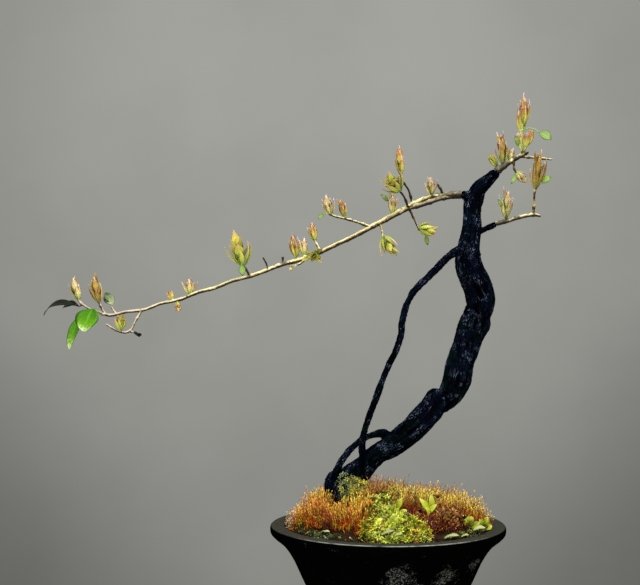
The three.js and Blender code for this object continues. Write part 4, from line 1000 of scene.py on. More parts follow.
def strewing(name, shape, where="grow"):
    """Geometry Nodes that strew copies of a small shape over a surface, by its `where` and `tall`."""
    tree = bpy.data.node_groups.new(name, "GeometryNodeTree")
    tree.interface.new_socket(name="Geometry", in_out="OUTPUT", socket_type="NodeSocketGeometry")
    for title, kind in (("Geometry", "Geometry"), ("Density", "Float"), ("Width", "Float"),
                        ("Height", "Float"), ("Lean", "Float"), ("Upright", "Float"), ("Seed", "Int"),
                        ("Material", "Material")):
        tree.interface.new_socket(name=title, in_out="INPUT", socket_type="NodeSocket" + kind)
    given = node(tree, "NodeGroupInput").outputs
    grow, tall = [node(tree, "GeometryNodeInputNamedAttribute", {0: value}).outputs[0]
                  for value in (where, "tall")]
    chance = lambda low, high, turn: node(tree, "FunctionNodeRandomValue", {
        2: low, 3: high, 8: plus(tree, given["Seed"], turn)}).outputs[1]
    sown = node(tree, "GeometryNodeDistributePointsOnFaces", {
        "Mesh": given["Geometry"], "Density": times(tree, given["Density"], grow),
        "Seed": given["Seed"]})
    kept = node(tree, "GeometryNodeStoreNamedAttribute", {
        0: sown.outputs[0], "Name": "tint", "Value": chance(0.0, 1.0, 1)})
    marked = node(tree, "GeometryNodeStoreNamedAttribute", {
        0: kept.outputs[0], "Name": "strewn", "Value": True}, data_type="BOOLEAN")
    stray = node(tree, "FunctionNodeRandomValue", {
        0: (-1, -1, -0.4), 1: (1, 1, 0.4), 8: given["Seed"]}, data_type="FLOAT_VECTOR").outputs[0]
    leaning = node(tree, "ShaderNodeVectorMath", {0: stray, 3: given["Lean"]}, operation="SCALE").outputs[0]
    upward = node(tree, "ShaderNodeMix", {
        0: given["Upright"], 4: sown.outputs["Normal"], 5: tuple(UP)}, data_type="VECTOR").outputs[1]
    way = node(tree, "ShaderNodeVectorMath", {0: upward, 1: leaning}).outputs[0]
    stood = node(tree, "FunctionNodeAlignRotationToVector", {"Vector": way}, axis="Z").outputs[0]
    spin = node(tree, "ShaderNodeCombineXYZ", {2: chance(0.0, 2 * math.pi, 2)}).outputs[0]
    turn = node(tree, "FunctionNodeEulerToRotation", {0: spin}).outputs[0]
    stood = node(tree, "FunctionNodeRotateRotation", {0: stood, 1: turn}, rotation_space="LOCAL").outputs[0]
    width = times(tree, given["Width"], chance(0.7, 1.3, 3))
    height = times(tree, times(tree, given["Height"], tall), chance(0.6, 1.0, 4))
    size = node(tree, "ShaderNodeCombineXYZ", {0: width, 1: width, 2: height}).outputs[0]
    copies = node(tree, "GeometryNodeInstanceOnPoints", {
        "Points": marked.outputs[0], "Instance": shape(tree), "Rotation": stood, "Scale": size})
    # What stood there before keeps its own finish.
    before = node(tree, "GeometryNodeStoreNamedAttribute", {
        0: given["Geometry"], "Name": "strewn", "Value": False}, data_type="BOOLEAN")
    joined = node(tree, "GeometryNodeJoinGeometry", {0: before.outputs[0]})
    tree.links.new(copies.outputs[0], joined.inputs[0])
    real = node(tree, "GeometryNodeRealizeInstances", {0: joined.outputs[0]})
    which = node(tree, "GeometryNodeInputNamedAttribute", {0: "strewn"}, data_type="BOOLEAN").outputs[0]
    dressed = node(tree, "GeometryNodeSetMaterial", {
        0: real.outputs[0], "Selection": which, "Material": given["Material"]})
    node(tree, "NodeGroupOutput", {0: dressed.outputs[0]})
    return tree


def spear(tree, sides, parts, belly, bend, rise=1.0, blunt=0.0, part=0.0):
    """A closed tapering spear one unit tall, swollen by `belly`, bent sideways, that knows its height."""
    cone = node(tree, "GeometryNodeMeshCone", {
        "Vertices": sides, "Side Segments": parts, "Radius Top": blunt, "Radius Bottom": 1.0,
        "Depth": rise}).outputs[0]
    axes = axes_of(tree, node(tree, "GeometryNodeInputPosition").outputs[0])
    high = maths(tree, "DIVIDE", axes[2], rise)
    swell = times(tree, maths(tree, "SINE", times(tree, high, math.pi)), belly)
    pushed = node(tree, "ShaderNodeCombineXYZ", {
        0: plus(tree, times(tree, axes[0], swell),
                 times(tree, times(tree, high, high), bend)),
        1: times(tree, axes[1], swell)}).outputs[0]
    named = node(tree, "GeometryNodeStoreNamedAttribute", {
        0: cone, "Name": "up", "Value": plus(tree, high, part)}).outputs[0]
    return node(tree, "GeometryNodeSetPosition", {0: named, "Offset": pushed}).outputs[0]


def moss_stalk(tree):
    """A leafy moss stem, three-sided, fattest below its middle."""
    return spear(tree, 3, 2, 0.7, 4.0)


def bristle(tree):
    """A moss bristle with its spore capsule nodding at the top."""
    stem = spear(tree, 3, 1, 0.0, 5.0, blunt=0.6)
    pod = node(tree, "GeometryNodeMeshIcoSphere", {0: 1.0, 1: 1}).outputs[0]
    named = node(tree, "GeometryNodeStoreNamedAttribute", {0: pod, "Name": "up", "Value": 1.0}).outputs[0]
    held = node(tree, "GeometryNodeTransform", {
        0: named, 1: (5.4, 0, 1.03), 3: (2.3, 2.3, 0.075)}).outputs[0]
    joined = node(tree, "GeometryNodeJoinGeometry", {0: stem})
    tree.links.new(held, joined.inputs[0])
    return joined.outputs[0]


def rosette(tree):
    """A star of six pointed leaves that a moss stem ends in, seen from above as a small flower."""
    leaf = node(tree, "GeometryNodeTransform", {
        0: spear(tree, 3, 2, 1.6, 2.2), 2: (0, 0.75, 0), 3: (0.14, 0.14, 1.0)}).outputs[0]
    joined = node(tree, "GeometryNodeJoinGeometry")
    for turn in range(6):
        petal = node(tree, "GeometryNodeTransform", {0: leaf, 2: (0, 0, turn * math.pi / 3)})
        tree.links.new(petal.outputs[0], joined.inputs[0])
    return joined.outputs[0]


def hair(tree):
    """One hair: a thin three-sided spike."""
    return spear(tree, 3, 1, 0.0, 0.0)


def grain_of_grit(tree):
    """A rough grain, about round."""
    ball = node(tree, "GeometryNodeMeshIcoSphere", {0: 1.0, 1: 1}).outputs[0]
    rough = node(tree, "ShaderNodeTexNoise", {"Scale": 1.3, "Detail": 1.0}).outputs["Color"]
    offset = node(tree, "ShaderNodeVectorMath", {0: rough, 1: (0.5, 0.5, 0.5)}, operation="SUBTRACT")
    return node(tree, "GeometryNodeSetPosition", {0: ball, "Offset": offset.outputs[0]}).outputs[0]


def strew(piece, tree, material, density, width, height, lean, upright, seed):
    """Runs a strewing tree, with `density` copies on each square millimetre, and keeps the plain mesh."""
    modifier = piece.modifiers.new("Strew", "NODES")
    modifier.node_group = tree
    given = {item.name: item.identifier for item in tree.interface.items_tree if item.in_out == "INPUT"}
    amounts = {"Density": density / MM ** 2, "Width": width, "Height": height, "Lean": lean,
               "Upright": upright, "Seed": seed, "Material": material}
    for name, amount in amounts.items():
        modifier[given[name]] = amount
    return baked(piece)


def blade(shape, foot, tip, face, width, thickness, arch=0.0, fold=0.1, wave=0.0, widest=0.5,
          rows=10, tint=0.5, rib=0.12, taper=0.8):
    """A closed leaf blade from foot to tip. Its upper face looks along `face`, `arch` bows it that way,
    `fold` lifts its edges, `wave` ripples them, and `rib` is the depth of its midrib."""
    along = tip - foot
    length = along.length
    heading = along.normalized()
    up = (face - heading * face.dot(heading)).normalized()
    side = up.cross(heading)
    shift = math.log(0.5) / math.log(widest)
    spread = [1, 0.72, 0.4, 0.12, 0, -0.12, -0.4, -0.72, -1]
    rings, far, wide = [], [0.0], [0.0]
    for row in range(rows):
        t = (row + 0.5) / rows
        half = (width / 2) * math.sin(math.pi * t ** shift) ** taper
        middle = foot + along * t + up * (arch * length * 4 * t * (1 - t))
        ring = []
        for lower, places in ((False, spread), (True, spread[-2:0:-1])):
            for x in places:
                ripple = wave * math.sin(9 * t + (1 if x > 0 else -1)) * abs(x) ** 1.5
                height = fold * half * abs(x) ** 1.4 + ripple - rib * (1 - min(1, abs(x) / 0.15))
                height += (-0.5 if lower else 0.5) * thickness * (1 - x * x) ** 0.5
                ring.append(middle + side * (half * x) + up * height)
                wide.append(x)
                far.append(t)
        rings.append(ring)
    points, faces = skin(rings, foot, tip)
    shape.add(points, faces, along=[*far, 1.0], across=[*wide, 0.0], tint=tint, grow=1.0, tall=1.0)


def stalk(shape, points, radius, tint=0.5, end=None):
    """A thin round stalk through the points."""
    run = [(*p, radius) for p in points[:-1]] + [(*points[-1], end or radius)]
    skin_points, faces, _ = limb(run, sides=7, step=1.5)
    shape.add(skin_points, faces, along=0.12, across=0.0, tint=tint, grow=0.4, tall=1.0)


def seeded_random(seed):
    """The CAD source's own random numbers, so that each leaf stands where its solid does."""
    state = seed
    while True:
        state = (state * 1664525 + 1013904223) % 4294967296
        yield state / 4294967296


def stalked_leaf(shape, points, tip, width, thickness, face=(0, -0.8, 0.6), arch=0.07, wave=0.0, rows=12,
                 tint=0.5, taper=0.8):
    """A single leaf: a thin stalk through its points and a blade from the stalk's end to the tip."""
    before, end = Vector(points[-2]), Vector(points[-1])
    foot = end - (end - before).normalized() * STALK_RADIUS
    stalk(shape, points, STALK_RADIUS * 0.8, tint)
    blade(shape, foot, Vector(tip), Vector(face), width, thickness, arch=arch, fold=0.14, wave=wave,
          rows=rows, tint=tint, taper=taper)


def leafy_shoot(name, spec, seed, thickness, *materials):
    """A shoot's leaves wound round its stem by the golden angle, with small unopened ones in its heart."""
    numbers = seeded_random(seed)
    chance = random.Random(seed)
    before, seat = [Vector(p[:3]) for p in spec["twig"][-2:]]
    heading = (seat - before).normalized()
    tip = Vector(spec["tip"])
    low = seat + heading * SEAT_GAP
    stem = spec.get("stem") or [
        (*(low + heading * STEM_RADIUS), STEM_RADIUS), (*low.lerp(tip, 0.5), STEM_RADIUS / 2)]
    top = Vector(stem[-1][:3])
    start = low.lerp(tip, spec.get("first_leaf", 0.1))
    axis = (tip - start).normalized()
    across = axis.cross(UP if abs(axis.y) > 0.8 else TO_VIEWER).normalized()
    length = (tip - start).length
    shape = Shape()
    points, faces, _ = limb([(*low, STEM_RADIUS * 0.7), *stem], sides=9, step=1.5)
    shape.add(points, faces, along=0.08, across=0.0, tint=0.5, grow=0.4, tall=1.0)
    leaves = spec["leaves"]
    for leaf in range(leaves):
        share = leaf / max(1, leaves - 1)
        last = leaf == leaves - 1
        out = Quaternion(axis, leaf * GOLDEN_ANGLE + next(numbers) * 0.3) @ across
        foot = start.lerp(top, 0.95 * share) + out * (0 if last else STEM_RADIUS * (0.6 - 0.3 * share))
        lean = spec["lean"] * (1 - 0.7 * share)
        way = axis * math.cos(lean) + out * math.sin(lean)
        reach = length * (0.68 + 0.2 * share) * (0.9 + 0.2 * next(numbers))
        end = tip if last else foot + way * reach
        blade(shape, foot, end, -out, spec["width"] * (1.15 + 0.4 * next(numbers)), thickness,
              arch=-0.05, fold=0.45, wave=0.15, widest=0.45, rows=8, tint=chance.random(), taper=1.2)
    # The outermost leaves spring from the twig just under the shoot.
    low = seat - heading * min(2.4, 0.6 * (seat - before).length)
    low = start if "stem" in spec else low
    for outer in range(OUTER_LEAVES if leaves > FEW_LEAVES else 0):
        out = Quaternion(axis, outer * OUTER_TURN + chance.random()) @ across
        end = start + (axis * 0.85 + out * spec["lean"] * (0.5 + chance.random())) * length * (
            0.6 + 0.4 * chance.random())
        blade(shape, low + out * 0.8, end, -out, spec["width"] * 0.8, thickness, arch=-0.12, fold=0.4,
              wave=0.15, widest=0.42, rows=7, tint=chance.random(), taper=1.3)
    for points, end, width in spec.get("fan", ()):
        stalked_leaf(shape, points, end, width, thickness, face=(0.1, -0.9, 0.3), arch=-0.08,
                     tint=0.4 + 0.5 * chance.random())
    for heart in range(HEART_LEAVES if leaves > FEW_LEAVES else 0):
        out = Quaternion(axis, (leaves + heart) * GOLDEN_ANGLE) @ across
        foot = start.lerp(top, 0.5 + 0.15 * heart)
        end = foot + (axis + out * 0.12) * length * (0.42 + 0.1 * chance.random())
        blade(shape, foot, end, -out, spec["width"] * 0.5, thickness, arch=-0.05, fold=0.8, rows=6,
              tint=chance.random())
    shape.finish = 1
    for points, end, width in spec.get("more", ()):
        stalked_leaf(shape, points, end, width, thickness, tint=0.35 + 0.5 * chance.random())
    return shape.piece(name, *materials)


def radius_on(profile, height):
    """The radius of a profile of (radius, height) points at a height."""
    above = max(1, next(i for i, point in enumerate(profile) if point[1] >= height))
    (r0, z0), (r1, z1) = profile[above - 1], profile[above]
    return r0 + (r1 - r0) * (height - z0) / (z1 - z0)


WALL_CURVE = [on_curve([Vector((r, z, 0)) for r, z in POT_WALL], place / 8)[:2]
              for place in range(8 * (len(POT_WALL) - 1) + 1)]
INSIDE = [(radius_on(WALL_CURVE, z) - WALL, z) for z in (FLOOR, 45, 91, 121)] + [(MOUTH_RADIUS, POT_HEIGHT)]
POT_SIDES = 40


def fill_radius(height):
    """How far the soil reaches at a height."""
    return radius_on(INSIDE, height) * math.cos(math.pi / POT_SIDES) - SEAT_GAP


SOIL_RADIUS = fill_radius(SOIL_EDGE)


def soil_height(radius):
    """Height of the soil's mound at a distance from the pot's axis."""
    return SOIL_EDGE + (SOIL_TOP - SOIL_EDGE) * (1 - (radius / SOIL_RADIUS) ** 2)


def turned(profile, sides):
    """A closed skin round the pot's axis, for a profile from the bottom pole outwards to the top pole."""
    rings = [[Vector((r * math.cos(2 * math.pi * s / sides), r * math.sin(2 * math.pi * s / sides), z))
              for s in range(sides)] for r, z in profile[1:-1]]
    return skin(rings, Vector((0, 0, profile[0][1])), Vector((0, 0, profile[-1][1])))


def moss_reach(name, way):
    """How far a moss cushion reaches from its middle before it meets a neighbour or the pot."""
    x, y = MOSS[name][0]
    along = x * way[0] + y * way[1]
    reach = -along + math.sqrt(along ** 2 + (SOIL_RADIUS - 0.1) ** 2 - x ** 2 - y ** 2)
    for other, ((px, py), _, _) in MOSS.items():
        away = math.hypot(px - x, py - y)
        towards = ((px - x) * way[0] + (py - y) * way[1]) / away if other != name else 0
        if towards > 0.01:
            reach = min(reach, (away / 2 - SEAT_GAP / 2) / towards)
    return reach


def room_for_moss(x, y):
    """How freely moss grows at a place: not in the wood or right at a small plant."""
    free = 1.0
    plants = [(px, py, clearing * 0.8) for (px, py), clearing, _, _ in PLANTLETS.values()]
    for px, py, radius in WOOD_IN_MOSS + plants:
        free = min(free, max(0.0, min(1.0, (math.hypot(x - px, y - py) - radius) / 2)))
    angle = math.degrees(math.atan2(y, x))
    if any(start < angle < end for start, end in LITTER):
        free = min(free, max(0.0, min(1.0, (LITTER_RADIUS - 2 - math.hypot(x, y)) / 3)))
    return free


def painted_at(kind, x, y):
    """How strongly a patch of moss is painted at a place, from 0 to 1."""
    return max(math.exp(-((x - px) / wide) ** 2 - ((y - py) / deep) ** 2)
               for px, py, wide, deep in MOSS_PATCHES[kind][2])


def moss_cushion(name, material):
    """The low felt of a cushion, over the soil, that the stalks grow from."""
    (x, y), stalk_height, _ = MOSS[name]
    sides, steps = 48, 11
    shape = Shape()
    rings, grow, tall, leafy = [], [0.0], [1.0], [0.0]
    paint = {kind: [0.0] for kind in MOSS_PATCHES}
    shares = [(0.5, False), (1.0, False)] + [(1 - i / steps, True) for i in range(steps)]
    for share, above in shares:
        ring = []
        for side in range(sides):
            way = (math.cos(2 * math.pi * side / sides), math.sin(2 * math.pi * side / sides))
            reach = moss_reach(name, way) * share
            px, py = x + way[0] * reach, y + way[1] * reach
            rim = math.hypot(px, py) / SOIL_RADIUS
            clump = noise.noise((px * 0.09, py * 0.09, 3))
            rise = MOSS_CUSHION * (0.6 + 0.4 * min(1, (1 - share) * 6)) + 1.2 * clump if above else 0
            ring.append(Vector((px, py, soil_height(math.hypot(px, py)) + MOSS_LIFT + rise)))
            tuft = noise.noise((px * 0.2, py * 0.2, 7))
            grow.append(room_for_moss(px, py) * max(0.15, min(1.0, 0.8 + 1.8 * tuft)) if above else 0.0)
            dip = max(depth * math.exp(-((px - dx) / wide) ** 2 - ((py - dy) / deep) ** 2)
                      for dx, dy, wide, deep, depth in MOSS_DIPS)
            for kind, held in paint.items():
                held.append(painted_at(kind, px, py))
            leafy.append(grow[-1] * paint["fresh"][-1])
            low = max(0.3 * paint["wine"][-1], 0.45 * paint["fresh"][-1])
            tall.append((0.95 + 0.4 * clump + 0.6 * tuft) * (1 - 0.4 * max(0.0, (rim - 0.86) / 0.14))
                        * (1 - dip) * (1 - low))
        rings.append(ring)
    middle = soil_height(math.hypot(x, y)) + MOSS_LIFT
    points, faces = skin(rings, Vector((x, y, middle)), Vector((x, y, middle + MOSS_CUSHION)))
    paint = {kind: [*held, 0.0] for kind, held in paint.items()}
    shape.add(points, faces, grow=[*grow, 1.0], tall=[*tall, 0.7], leafy=[*leafy, 0.0], **paint)
    return shape.piece(name + "_cushion", material)


# Root, middle, tip and stray colour of each layer and kind of moss, and how common the stray colour is.
# The dark roots are painted shade low in the cushion, and the pale tips are partly painted light.
MOSS_LOOKS = {
    ("strands", "rust"): ("8c1806 ec400a fc9c38 ecc81c", 0.46),
    ("strands", "gold"): ("983c0a f09c0c fcd054 ec5c0a", 0.6),
    ("strands", "lime"): ("5a4c06 d8b020 f8ec6c dc7c1c", 0.5),
    ("strands", "maroon"): ("300806 b0681c e8bc64 a83018", 0.5),
    ("bristles", "rust"): ("3c0c04 b4400c f0a44c d8b430", 0.5),
    ("bristles", "gold"): ("3c0c04 c07c1c f8dc84 d8b430", 0.5),
    ("bristles", "lime"): ("3c0c04 a89024 f0e890 d8b430", 0.5),
    ("bristles", "maroon"): ("3c0c04 94341c e8a878 d8b430", 0.5),
    ("whorls", "rust"): ("4a4a08 c8c82c f6f47c e8941c", 0.5),
    ("whorls", "gold"): ("4a4a08 c8c82c f6f47c e8941c", 0.5),
    ("whorls", "lime"): ("5a7410 d2e030 f8f884 e8a832", 0.3),
    ("whorls", "maroon"): ("1a0504 7a1a16 b44028 c8881e", 0.9),
}
# Foot, shoulder, tip and vein of each kind of leaf. The middle is one of the leaf settings.
LEAF_LOOKS = {
    "amber": "a4b83c c87424 fbe0cc fbeeb4",
    "pink": "b8c44c d8a46c fdf2ea f6eecb",
    "lime": "8cac2c d8c84c ecb070 f2f2b4",
    "fresh": "668c34 8aa64e 4c6824 b4cc84",
    "green": "3c7810 6cac0e d4ec9c 84bc30",
    "golden": "a0942c b87c20 f0d890 f0e0a0",
    "dark": "1c2810 12140a 343f18 1e2812",
    "grey": "98a874 76865c 39452e b4c09c",
}


def leaf_materials(leaves):
    """The blade finish of each kind of leaf, and the finish of its down."""
    made = {}
    for kind, codes in LEAF_LOOKS.items():
        foot, shoulder, tip, vein = colours(codes)
        middle = getattr(leaves, kind)
        made[kind] = (
            leaf_blade(f"young_leaf_{kind}", foot, middle, shoulder, tip, vein, 0.45),
            leaf_down(f"leaf_down_{kind}", [0.6 * c + 0.35 for c in middle]))
    return made


class BONSAI_OT_pot(bpy.types.Operator):
    """Turns the glazed pot and cuts its drain holes and grooves"""

    bl_idname = "bonsai.pot"
    bl_label = "Pot"

    def execute(self, context):
        pot = context.scene.bonsai_pot
        stretch = pot.height / MM / POT_HEIGHT
        marks = pot.turning_marks / MM
        wall = [(r + marks * math.sin(z * 2.1) * min(1, z / 20), z * stretch) for r, z in WALL_CURVE]
        inside = [(radius_on(INSIDE, z), z * stretch) for z in (132, 121, 106, 91, 68, 45, 28, 14)]
        lip = [(r, z * stretch) for r, z in POT_LIP]
        foot = [(0, 0), (20, 0), (40, 0), (49, 0), (49.7, 0.2)]
        inner = [(INSIDE[0][0] - 0.6, FLOOR + 0.5), (INSIDE[0][0] - 3, FLOOR), (20, FLOOR), (0, FLOOR)]
        shape = Shape()
        shape.add(*turned(foot + [(50, 0.8)] + wall[1:] + lip + inside + inner, 192))
        material = black_glaze(pot)
        piece = shape.piece("pot_wall", material)
        cutters = []
        for drain in range(DRAIN_COUNT):
            turn = 2 * math.pi * drain / DRAIN_COUNT
            cutter = Shape()
            points, faces = turned([(0, -10), (DRAIN_RADIUS, -10), (DRAIN_RADIUS, 20), (0, 20)], 32)
            points = [p + Vector((DRAIN_CIRCLE, 0, 0)) for p in points]
            cutter.add(points, faces)
            half = GROOVE_WIDTH / 2
            corners = [(DRAIN_CIRCLE, -half), (80, -half), (80, half), (DRAIN_CIRCLE, half)]
            base, roof = [[Vector((x, y, z)) for x, y in corners] for z in (-GROOVE_DEPTH, GROOVE_DEPTH)]
            cutter.add(base + roof, [(3, 2, 1, 0), (4, 5, 6, 7), (0, 1, 5, 4), (1, 2, 6, 5), (2, 3, 7, 6),
                                     (3, 0, 4, 7)])
            for i, p in enumerate(cutter.points):
                cutter.points[i] = Quaternion(UP, turn) @ Vector(p)
            tool = cutter.piece(f"drain_cutter_{drain}", material)
            cut = piece.modifiers.new("Drain", "BOOLEAN")
            cut.object = tool
            cut.operation = "DIFFERENCE"
            cut.solver = "EXACT"
            cut.use_self = True
            cutters.append(tool)
        context.view_layer.update()
        baked(piece)
        for tool in cutters:
            bpy.data.objects.remove(tool)
        handed_over(piece, "pot_glaze", "pot")
        screen = moulded_screen(pot)
        for drain in range(DRAIN_COUNT):
            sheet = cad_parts[f"drain_screen_{drain + 1}"]
            sheet.data.materials.clear()
            sheet.data.materials.append(screen)
        return {"FINISHED"}


class BONSAI_OT_soil(bpy.types.Operator):
    """Fills the pot with crumbly soil and strews grit inside its rim"""

    bl_idname = "bonsai.soil"
    bl_label = "Soil and grit"

    def execute(self, context):
        soil = context.scene.bonsai_soil
        sides, steps = 110, 26
        profile = [(0, SCREEN_TOP + SEAT_GAP), (30, SCREEN_TOP + SEAT_GAP)]
        profile += [(fill_radius(z), z) for z in (SCREEN_TOP + SEAT_GAP, 45, 68, 91, 106, 121, 130)]
        edge = len(profile)
        profile += [(SOIL_RADIUS * (1 - i / steps), soil_height(SOIL_RADIUS * (1 - i / steps)))
                    for i in range(steps)] + [(0, SOIL_TOP)]
        points, faces = turned(profile, sides)
        crumb = soil.crumb / MM
        grow = []
        first_top = 1 + (edge - 1) * sides
        for i, p in enumerate(points):
            top = i >= first_top
            rim = math.hypot(p.x, p.y) / SOIL_RADIUS
            if top and rim < 0.995:
                rough = noise.noise(p * 0.45) + 0.6 * noise.noise(p * 1.1)
                p.z += crumb * (rough - 0.3)
            grow.append(1.0 if top and 0.9 < rim < 0.985 else 0.12 if top and rim < 0.9 else 0.0)
        shape = Shape()
        shape.add(points, faces, grow=grow, tall=1.0)
        piece = shape.piece("soil_mound", potting_soil(soil))
        size = soil.grit_size
        strew(piece, strewing("grit", grain_of_grit), washed_grit(soil), density=GRIT_DENSITY,
              width=size, height=size, lean=1.0, upright=0.0, seed=4)
        handed_over(piece, "soil", "soil")
        shape = Shape()
        for start, end in LITTER:
            run = []
            for i in range(LITTER_STEPS):
                angle = math.radians(start + (end - start) * i / (LITTER_STEPS - 1))
                at = [LITTER_RADIUS * math.cos(angle), LITTER_RADIUS * math.sin(angle)]
                radius = 1.2 + 2.6 * math.sin(math.pi * i / (LITTER_STEPS - 1))
                run.append((*at, soil_height(LITTER_RADIUS), radius))
            points, faces, _ = limb(run, 16, 1.5)
            points = [p + UP * 1.6 * noise.noise(p * 0.4) for p in points]
            shape.add(points, faces, grow=1.0, tall=1.0)
        litter = shape.piece("rim_litter", piece.data.materials[0])
        strew(litter, strewing("litter_grit", grain_of_grit), washed_grit(soil),
              density=LITTER_GRIT_DENSITY, width=size * 0.85, height=size * 0.85, lean=1.0, upright=0.0,
              seed=12)
        tufts = moss_finish("litter_moss", *colours("0a1204 3c5418 a4b04c 8c8c2c"), 0.5)
        strew(litter, strewing("litter_tufts", rosette), tufts, density=LITTER_TUFT_DENSITY,
              width=LITTER_TUFT * MM, height=LITTER_TUFT * MM, lean=0.5, upright=0.5, seed=13)
        handed_over(litter, "soil")
        return {"FINISHED"}


class BONSAI_OT_trunk(bpy.types.Operator):
    """Grows the black trunk with its thin stem, side root, buried roots and stubs"""

    bl_idname = "bonsai.trunk"
    bl_label = "Trunk"

    def execute(self, context):
        settings = context.scene.bonsai_wood
        limbs = [limb(run, 40, relief=0.05, round_end=True) for run in (TRUNK_LOWER, TRUNK_MIDDLE)]
        limbs.append(limb(TRUNK_UPPER, 40, relief=0.05, last=CROWN_FACE))
        limbs += [limb(run, 28, relief=0.06) for run in BASE_LUMPS]
        limbs += [limb(run, 12, 3.0) for run in ROOTS]
        limbs += [limb(run, 18, relief=0.04) for run in (THIN_STEM, SIDE_ROOT)]
        limbs.append(limb(BRANCH_KNOB, 20, last=KNOB_FACE))
        limbs.append(limb(RIGHT_STUB, 16, last=STUB_FACE))
        piece = wood("trunk_bark", limbs, settings.trunk_grid, settings.trunk_relief, 1.0,
                     fissured_black_bark(settings))
        handed_over(piece, "bark_black", "trunk")
        return {"FINISHED"}


class BONSAI_OT_branches(bpy.types.Operator):
    """Grows the long branch, the crown and the right branch with all their twigs"""

    bl_idname = "bonsai.branches"
    bl_label = "Branches"

    def execute(self, context):
        settings = context.scene.bonsai_wood
        material = smooth_young_bark(settings)
        leaf_twigs = [leaf["twig"] for leaf in GROWN_LEAVES.values()]
        mains = {
            "long": (LONG_BRANCH, KNOB_FACE, [LOWER_STRAND, *BARE_TWIGS, *leaf_twigs]),
            "crown": (CROWN_BRANCH, CROWN_FACE, [CROWN_TWIG]),
            "right": (RIGHT_BRANCH, STUB_FACE, []),
        }
        grit = strewing("lenticels", grain_of_grit)
        for name, (main, face, others) in mains.items():
            limbs = [limb(main, 20, 1.0, relief=0.05, first=face, round_end=True, joints=0.14)]
            twigs = others + [spec["twig"] for spec in SHOOTS[name].values()]
            limbs += [limb(run, 12, 0.8, joints=0.35, round_end=run in others) for run in twigs]
            piece = wood(f"branch_{name}_bark", limbs, settings.branch_grid, settings.branch_relief, 2.4,
                         material)
            mesh = piece.data
            old = []
            foot = Vector(main[0][:3])
            dark = [on_curve([Vector(p[:3]) for p in SHOOTS[name][shoot]["twig"]], step / 3)
                    for shoot in DARK_TWIGS if shoot in SHOOTS[name]
                    for step in range(2, 3 * len(SHOOTS[name][shoot]["twig"]) - 3)]
            dark += [Vector(p[:3]) for twig in BARE_TWIGS[:3] for p in twig[1:]]
            # Points just under the lower strand darken the strand and the main branch's underside near it:
            # painted shade, carried in the old value.
            strand = [Vector(p[:3]) - UP * 1.4 for p in LOWER_STRAND]
            dark += [on_curve(strand, step / 4) for step in range(4 * len(strand) - 6)]
            for vertex in mesh.vertices:
                spot = vertex.co / MM
                near_foot = max(0.0, 1.3 - (spot - foot).length / 32 + noise.noise(spot * 0.35))
                near_twig = max([0.0, *[1.6 - (spot - place).length / 3.2 for place in dark]])
                old.append(min(0.88, max(near_foot, near_twig)))
            kept_at_points(mesh, "old", old)
            for value in ("grow", "tall"):
                kept_at_points(mesh, value, [1.0] * len(old))
            strew(piece, grit, material, density=LENTICEL_DENSITY, width=0.42 * MM, height=0.3 * MM,
                  lean=0.0, upright=0.0, seed=11)
            handed_over(piece, "bark_tan", f"branch_{name}")
        return {"FINISHED"}


class BONSAI_OT_shoots(bpy.types.Operator):
    """Opens the young leafy shoots on every twig, with their veins and down"""

    bl_idname = "bonsai.shoots"
    bl_label = "Young shoots"

    def execute(self, context):
        leaves = context.scene.bonsai_leaves
        looks = leaf_materials(leaves)
        down = strewing("down", hair)
        everything = {**SHOOTS["long"], **SHOOTS["crown"], **SHOOTS["right"]}
        for seed, (name, spec) in enumerate(everything.items(), 100):
            blades, hairs = looks[spec.get("look", spec["finish"])]
            piece = leafy_shoot(name + "_leaves", spec, seed, leaves.thickness / MM, blades,
                                looks["fresh"][0])
            strew(piece, down, hairs, density=leaves.hairs, width=HAIR_WIDTH * MM,
                  height=leaves.hair_length, lean=0.5, upright=0.2, seed=seed)
            handed_over(piece, "leaf_" + spec["finish"].replace("grey", "dark"), name)
        for seed, (name, group) in enumerate(GROWN_LEAVES.items(), 200):
            blades, hairs = looks[group["finish"]]
            shape = Shape()
            for points, tip, width, face, arch, wave in group["leaves"]:
                stalked_leaf(shape, points, tip, width, leaves.thickness / MM, face, arch, wave, rows=30,
                             tint=0.6, taper=0.62)
            piece = shape.piece(name + "_blade", blades)
            handed_over(piece, "leaf_" + group["finish"], name)
        return {"FINISHED"}


